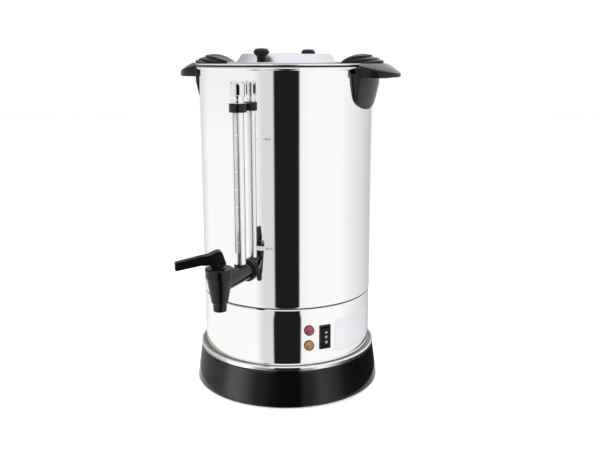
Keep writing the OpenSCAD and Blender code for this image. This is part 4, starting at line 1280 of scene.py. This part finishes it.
class URN_OT_level_words(bpy.types.Operator):
    """Prints the upper and lower level words on the wall beside the gauge."""

    bl_idname = "urn.level_words"
    bl_label = "Level words"

    def execute(self, context):
        sizes = context.scene.urn_sizes
        _, wall, _, _ = span("outer_shell")
        tall = sizes.word_height
        letter = 0.75 * tall
        gap = 0.35 * tall
        dash_half = 0.6 * MM
        letter_half = 0.26 * MM
        # Each word with its height and the angles from the tap between which its dash runs
        words = (("MAX", sizes.full_level, 6.9, 11.7), ("MIN", sizes.low_level, 8.3, 12.0))
        parts = []
        for word, height, start, end in words:
            left = math.radians(start) * wall
            right = math.radians(end) * wall
            parts.append(self.stroke((left, height), (right, height), wall, dash_half))
            left = right + 2 * gap
            foot = height - tall / 2
            for sign in word:
                for a, b in LETTERS[sign]:
                    from_point = (left + a[0] * letter, foot + a[1] * tall)
                    to_point = (left + b[0] * letter, foot + b[1] * tall)
                    parts.append(self.stroke(from_point, to_point, wall, letter_half))
                left += letter + gap
        colour = context.scene.urn_colours.word
        material = shared("level_print", soft_finish, colour, rough=0.5, relief=0.01 * MM)
        dress(blocks("level_print", parts), material, "urn", "polished_steel")
        self.label(sizes.low_level, wall)
        return {"FINISHED"}

    def label(self, height, wall):
        """White label behind the lower mark."""
        start = math.radians(6.2) * wall
        end = math.radians(16.2) * wall
        behind = wall - HAIR
        half = 3.1 * MM
        steps = 12
        parts = []
        for k in range(steps):
            left = start + (end - start) * k / steps
            right = start + (end - start) * (k + 1) / steps
            parts.append(self.stroke((left, height), (right, height), behind, half, overrun=0.0))
        material = shared("label_white", soft_finish, (0.84, 0.84, 0.84, 1.0), rough=0.5, relief=0.01 * MM)
        dress(blocks("level_label", parts), material, "urn", "polished_steel")

    def stroke(self, a, b, wall, half, overrun=1.0):
        """Thin bar between two points of the wall's unrolled face."""
        skin = 0.04 * MM
        start = Vector(a)
        end = Vector(b)
        along = (end - start).normalized() * half
        across = Vector((-along.y, along.x))
        along *= overrun
        plan = (start - along + across, start - along - across, end + along - across, end + along + across)
        corners = []
        for radius in (wall - skin, wall + skin):
            for point in plan:
                angle = point.x / wall
                corners.append((radius * math.sin(angle), -radius * math.cos(angle), point.y))
        return prism(corners)


class URN_OT_inner_works(bpy.types.Operator):
    """Gives every construction node that still shows a finish that suits its material."""

    bl_idname = "urn.inner_works"
    bl_label = "Inner works"

    def execute(self, context):
        zinc = shared("zinc_steel", brushed_finish, (0.62, 0.63, 0.65, 1.0))
        aluminium = shared("plain_aluminium", brushed_finish, (0.8, 0.8, 0.81, 1.0), low=0.25, high=0.4)
        sheath = shared("element_sheath", brushed_finish, (0.2, 0.19, 0.18, 1.0), low=0.4, high=0.6)
        rubber = shared("foot_rubber", soft_finish, (0.02, 0.02, 0.021, 1.0), rough=0.7)
        silicone = shared("seal_silicone", soft_finish, (0.55, 0.54, 0.52, 1.0), rough=0.5)
        cream = shared("cream_plastic", plastic_finish, (0.62, 0.57, 0.47, 1.0), low=0.35, high=0.5)
        brown = shared("brown_phenolic", plastic_finish, (0.09, 0.045, 0.025, 1.0), low=0.35, high=0.5)
        felt = shared("blanket_felt", soft_finish, (0.5, 0.45, 0.36, 1.0), rough=0.9, relief=0.3 * MM)
        finishes = {
            "polished_steel": wall_steel(), "zinc_steel": zinc, "aluminium": aluminium,
            "element_sheath": sheath, "rubber": rubber, "silicone": silicone, "cream_plastic": cream,
            "brown_phenolic": brown, "insulation": felt, "black_plastic": handle_black(),
            "knob_plastic": knob_black(),
        }
        own = {"lever_pin": tap_black()}
        slots = {part["node"]: part["material_slot"] for part in frame["record"]["subparts"]}
        for node, cad in frame["nodes"].items():
            if cad.hide_render:
                continue
            if slots[node] not in finishes:
                raise RuntimeError("no finish for " + node)
            cad.data.materials.clear()
            cad.data.materials.append(own.get(node, finishes[slots[node]]))
        return {"FINISHED"}


class URN_OT_stage(bpy.types.Operator):
    """Sets the camera, the photo table, the light tent, the lamps and the background."""

    bl_idname = "urn.stage"
    bl_label = "Stage"

    def execute(self, context):
        scene = context.scene
        stage = scene.urn_stage
        scene.view_settings.view_transform = "Standard"
        data = bpy.data.cameras.new("camera")
        data.sensor_width = 36.0
        data.lens = stage.lens
        camera = bpy.data.objects.new("camera", data)
        camera.location = stage.camera_place
        camera.rotation_euler = (math.pi / 2 - stage.camera_tilt, 0.0, stage.camera_pan)
        scene.collection.objects.link(camera)
        scene.camera = camera
        self.table(scene)
        self.tent(stage)
        self.low_card(stage)
        self.background(scene, stage)
        # Each lamp with its place, width and power
        for name, place, size, power in (
            ("key", (-1.5, -1.3, 1.9), 1.2, 26.0),
            ("fill", (1.7, -1.2, 1.3), 1.4, 11.0),
            ("back", (0.25, 1.5, 1.45), 1.3, 17.0),
        ):
            self.lamp(name, place, size, power)
        return {"FINISHED"}

    def sheet(self, name, rings, turns):
        """Adds a sheet through rings of (radius, height). A ring without radius is a point."""
        verts = []
        faces = []
        before = []
        for radius, height in rings:
            first = len(verts)
            here = [first + k if radius else first for k in range(turns)]
            for k in range(turns if radius else 1):
                c, s = units(2 * math.pi * k / turns)
                verts.append((radius * c, radius * s, height))
            for k in range(len(before)):
                n = (k + 1) % turns
                faces.append(list(dict.fromkeys([before[k], here[k], here[n], before[n]])))
            before = here
        mesh = bpy.data.meshes.new(name)
        mesh.from_pydata(verts, [], faces)
        piece = add_piece(name, mesh)
        return piece

    def table(self, scene):
        """Pale table that the camera sees as white, with the urn's shadow on it."""
        floor = self.sheet("photo_table", [(0.0, 0.0), (7.0, 0.0)], turns=64)
        material = finish("table_white", scene.urn_colours.floor, 0.6)
        vary_colour(material, share=0.01, scale=3.0)
        vary_roughness(material, low=0.55, high=0.7, scale=20.0)
        grain(material, scale=300.0, height=0.05 * MM, strength=0.1)
        shader = shader_of(material)
        shader.inputs["Specular IOR Level"].default_value = 0.0
        nodes = material.node_tree.nodes
        lift = nodes.new("ShaderNodeEmission")
        lift.inputs["Strength"].default_value = 0.46
        path = nodes.new("ShaderNodeLightPath")
        seen = nodes.new("ShaderNodeMixShader")
        both = nodes.new("ShaderNodeAddShader")
        link(material, path.outputs["Is Camera Ray"], seen.inputs["Fac"])
        link(material, lift.outputs["Emission"], seen.inputs[2])
        link(material, shader.outputs["BSDF"], both.inputs[0])
        link(material, seen.outputs["Shader"], both.inputs[1])
        link(material, both.outputs["Shader"], nodes["Material Output"].inputs["Surface"])
        floor.data.materials.append(material)
        floor.visible_glossy = False

    def tent(self, stage):
        """White tent round the urn that only reflections see, dark where the camera looks in."""
        radius = 2.6
        height = 2.8
        floor_gap = 0.0003
        # Top of each low zone of the wall, and its tone on the left
        zones = ((0.18, 1.0), (0.26, 0.975), (0.36, 0.95), (0.48, 0.925), (0.7, 0.9))
        turns = 96
        turn = stage.tent_turn - math.pi / 2
        c, s = units(turn)
        origin = (stage.tent_focus * c, stage.tent_focus * s, 0.0)
        levels = [floor_gap, *(top for top, _ in zones), height]
        wall = self.sheet("tent_wall", [(0.0, floor_gap)] + [(radius, z) for z in levels], turns)
        wall.rotation_euler = (0.0, 0.0, turn)
        left_tones = [1.0, *(tone for _, tone in zones)]
        for zone, stops in enumerate(self.tent_tones(math.degrees(stage.gap_half), left_tones)):
            wall.data.materials.append(self.tent_cloth("tent_cloth_%d" % zone, stops))
        for face in wall.data.polygons:
            face.material_index = face.index // turns
        roof = self.sheet("tent_roof", [(0.0, height), (radius, height)], turns=64)
        roof.data.materials.append(self.glow("tent_top_cloth"))
        for piece in (wall, roof):
            piece.location = origin
            self.mirrored_only(piece)

    def tent_tones(self, gap, left_tones):
        """Tone by angle in degrees for each zone of the tent, from the floor up to the high wall."""
        dark = 0.012
        flag = 0.73
        soft = 0.7
        right = [
            (-31.0, flag), (-gap - soft, flag), (-gap, dark), (gap, dark), (gap + soft, 0.93),
            (gap + 14.0, 1.0), (75.0, 1.0), (116.0, 0.76), (145.0, 0.56), (160.0, 0.92), (170.0, 0.92),
            (175.0, 0.3),
        ]
        tones = []
        for tone in left_tones:
            back = [(-180.0, 0.3), (-171.0, 0.3), (-163.0, 0.85), (-150.0, 0.74)]
            tones.append(back + [(-126.0, tone), (-42.0, tone)] + right)
        tones.append([
            (-180.0, 0.25), (-150.0, 0.35), (-120.0, 0.5), (-60.0, 0.5), (-30.0, 0.84), (20.0, 0.92),
            (60.0, 0.92), (100.0, 0.86), (135.0, 0.9), (158.0, 0.9), (172.0, 0.4),
        ])
        return tones

    def low_card(self, stage):
        """Low ring of cloth close round the base that only the base mirrors."""
        radius = 0.16
        floor_gap = 0.0005
        height = 0.0495
        card = self.sheet("low_card", [(radius, floor_gap), (radius, height)], turns=96)
        card.rotation_euler = (0.0, 0.0, math.atan2(stage.camera_place[1], stage.camera_place[0]))
        # Tone by angle in degrees from the camera: bright on both sides, dark in the middle and behind
        stops = [
            (-180.0, 0.3), (-60.0, 0.45), (-50.0, 0.65), (-42.0, 1.8), (-35.0, 1.8), (-22.0, 0.37),
            (-16.0, 0.25), (-10.5, 0.08), (-5.0, 0.02), (8.0, 0.015), (11.0, 0.3), (17.0, 0.4), (23.0, 0.95),
            (29.0, 0.8), (43.0, 0.12), (52.0, 0.05), (77.0, 0.03), (160.0, 0.1),
        ]
        card.data.materials.append(self.tent_cloth("low_card_cloth", stops))
        self.mirrored_only(card)

    def mirrored_only(self, piece):
        """Keeps a sheet out of all but the reflections."""
        piece.visible_camera = False
        piece.visible_diffuse = False
        piece.visible_shadow = False
        piece.visible_volume_scatter = False

    def glow(self, name):
        """Plain white light."""
        material = bpy.data.materials.new(name)
        material.use_nodes = True
        nodes = material.node_tree.nodes
        nodes.remove(shader_of(material))
        light = nodes.new("ShaderNodeEmission")
        light.inputs["Color"].default_value = (0.97, 0.97, 1.0, 1.0)
        light.inputs["Strength"].default_value = 1.0
        link(material, light.outputs["Emission"], nodes["Material Output"].inputs["Surface"])
        material.cycles.emission_sampling = "NONE"
        return material

    def tent_cloth(self, name, stops):
        """Light that changes round the tent."""
        material = self.glow(name)
        nodes = material.node_tree.nodes
        light = nodes["Emission"]
        place = nodes.new("ShaderNodeTexCoord")
        round_axis = nodes.new("ShaderNodeTexGradient")
        round_axis.gradient_type = "RADIAL"
        ramp = nodes.new("ShaderNodeValToRGB")
        link(material, place.outputs["Object"], round_axis.inputs["Vector"])
        link(material, round_axis.outputs["Color"], ramp.inputs["Fac"])
        link(material, ramp.outputs["Color"], light.inputs["Color"])
        peak = max(tone for _, tone in stops)
        light.inputs["Strength"].default_value = peak
        elements = ramp.color_ramp.elements
        elements.remove(elements[1])
        for index, (angle, tone) in enumerate(stops):
            position = 0.5 + angle / 360.0
            element = elements.new(position) if index else elements[0]
            element.position = position
            element.color = (tone / peak, tone / peak, tone / peak, 1.0)
        return material

    def background(self, scene, stage):
        """White behind the urn and in its reflections, and a dimmer even light on matt surfaces."""
        world = bpy.data.worlds.new("backdrop")
        world.use_nodes = True
        scene.world = world
        nodes = world.node_tree.nodes
        even = nodes["Background"]
        even.inputs["Color"].default_value = (0.97, 0.98, 1.0, 1.0)
        even.inputs["Strength"].default_value = stage.ambient
        white = nodes.new("ShaderNodeBackground")
        white.inputs["Color"].default_value = (1.0, 1.0, 1.0, 1.0)
        white.inputs["Strength"].default_value = 1.0
        path = nodes.new("ShaderNodeLightPath")
        mirror = nodes.new("ShaderNodeMath")
        mirror.operation = "MAXIMUM"
        seen = nodes.new("ShaderNodeMath")
        seen.operation = "MAXIMUM"
        choose = nodes.new("ShaderNodeMixShader")
        link(world, path.outputs["Is Glossy Ray"], mirror.inputs[0])
        link(world, path.outputs["Is Transmission Ray"], mirror.inputs[1])
        link(world, path.outputs["Is Camera Ray"], seen.inputs[0])
        link(world, mirror.outputs["Value"], seen.inputs[1])
        link(world, seen.outputs["Value"], choose.inputs["Fac"])
        link(world, even.outputs["Background"], choose.inputs[1])
        link(world, white.outputs["Background"], choose.inputs[2])
        link(world, choose.outputs["Shader"], nodes["World Output"].inputs["Surface"])

    def lamp(self, name, place, size, power):
        """Soft lamp that looks at the middle of the urn and isn't mirrored."""
        data = bpy.data.lights.new(name, "AREA")
        data.shape = "DISK"
        data.size = size
        data.energy = power
        lamp = bpy.data.objects.new(name, data)
        lamp.location = place
        aim = Vector((0.0, 0.0, 0.25)) - Vector(place)
        lamp.rotation_euler = aim.to_track_quat("-Z", "Y").to_euler()
        lamp.visible_glossy = False
        bpy.context.scene.collection.objects.link(lamp)


OPERATORS = (
    URN_OT_tank_walls, URN_OT_base, URN_OT_rim, URN_OT_deck, URN_OT_lid, URN_OT_lid_knobs, URN_OT_handles,
    URN_OT_handle_caps, URN_OT_gauge, URN_OT_gauge_cap, URN_OT_gauge_bracket, URN_OT_tap, URN_OT_tap_lever,
    URN_OT_lamps, URN_OT_switch, URN_OT_plate, URN_OT_level_words, URN_OT_inner_works, URN_OT_stage,
)


class URN_PT_pieces(bpy.types.Panel):
    """Lists the urn's pieces in the sidebar."""

    bl_idname = "URN_PT_pieces"
    bl_label = "Coffee Urn"
    bl_space_type = "VIEW_3D"
    bl_region_type = "UI"
    bl_category = "Coffee Urn"

    def draw(self, context):
        for operator in OPERATORS:
            self.layout.operator(operator.bl_idname)


CLASSES = (UrnSizes, UrnColours, UrnStage, *OPERATORS, URN_PT_pieces)


def register():
    for cls in CLASSES:
        bpy.utils.register_class(cls)
    bpy.types.Scene.urn_sizes = bpy.props.PointerProperty(type=UrnSizes)
    bpy.types.Scene.urn_colours = bpy.props.PointerProperty(type=UrnColours)
    bpy.types.Scene.urn_stage = bpy.props.PointerProperty(type=UrnStage)


def unregister():
    del bpy.types.Scene.urn_stage
    del bpy.types.Scene.urn_colours
    del bpy.types.Scene.urn_sizes
    for cls in reversed(CLASSES):
        bpy.utils.unregister_class(cls)


def main():
    register()
    bpy.ops.urn.tank_walls()
    bpy.ops.urn.base()
    bpy.ops.urn.rim()
    bpy.ops.urn.deck()
    bpy.ops.urn.lid()
    bpy.ops.urn.lid_knobs()
    bpy.ops.urn.handles()
    bpy.ops.urn.handle_caps()
    bpy.ops.urn.gauge()
    bpy.ops.urn.gauge_cap()
    bpy.ops.urn.gauge_bracket()
    bpy.ops.urn.tap()
    bpy.ops.urn.tap_lever()
    bpy.ops.urn.lamps()
    bpy.ops.urn.switch()
    bpy.ops.urn.plate()
    bpy.ops.urn.level_words()
    bpy.ops.urn.inner_works()
    bpy.ops.urn.stage()


if __name__ == "__main__":
    main()
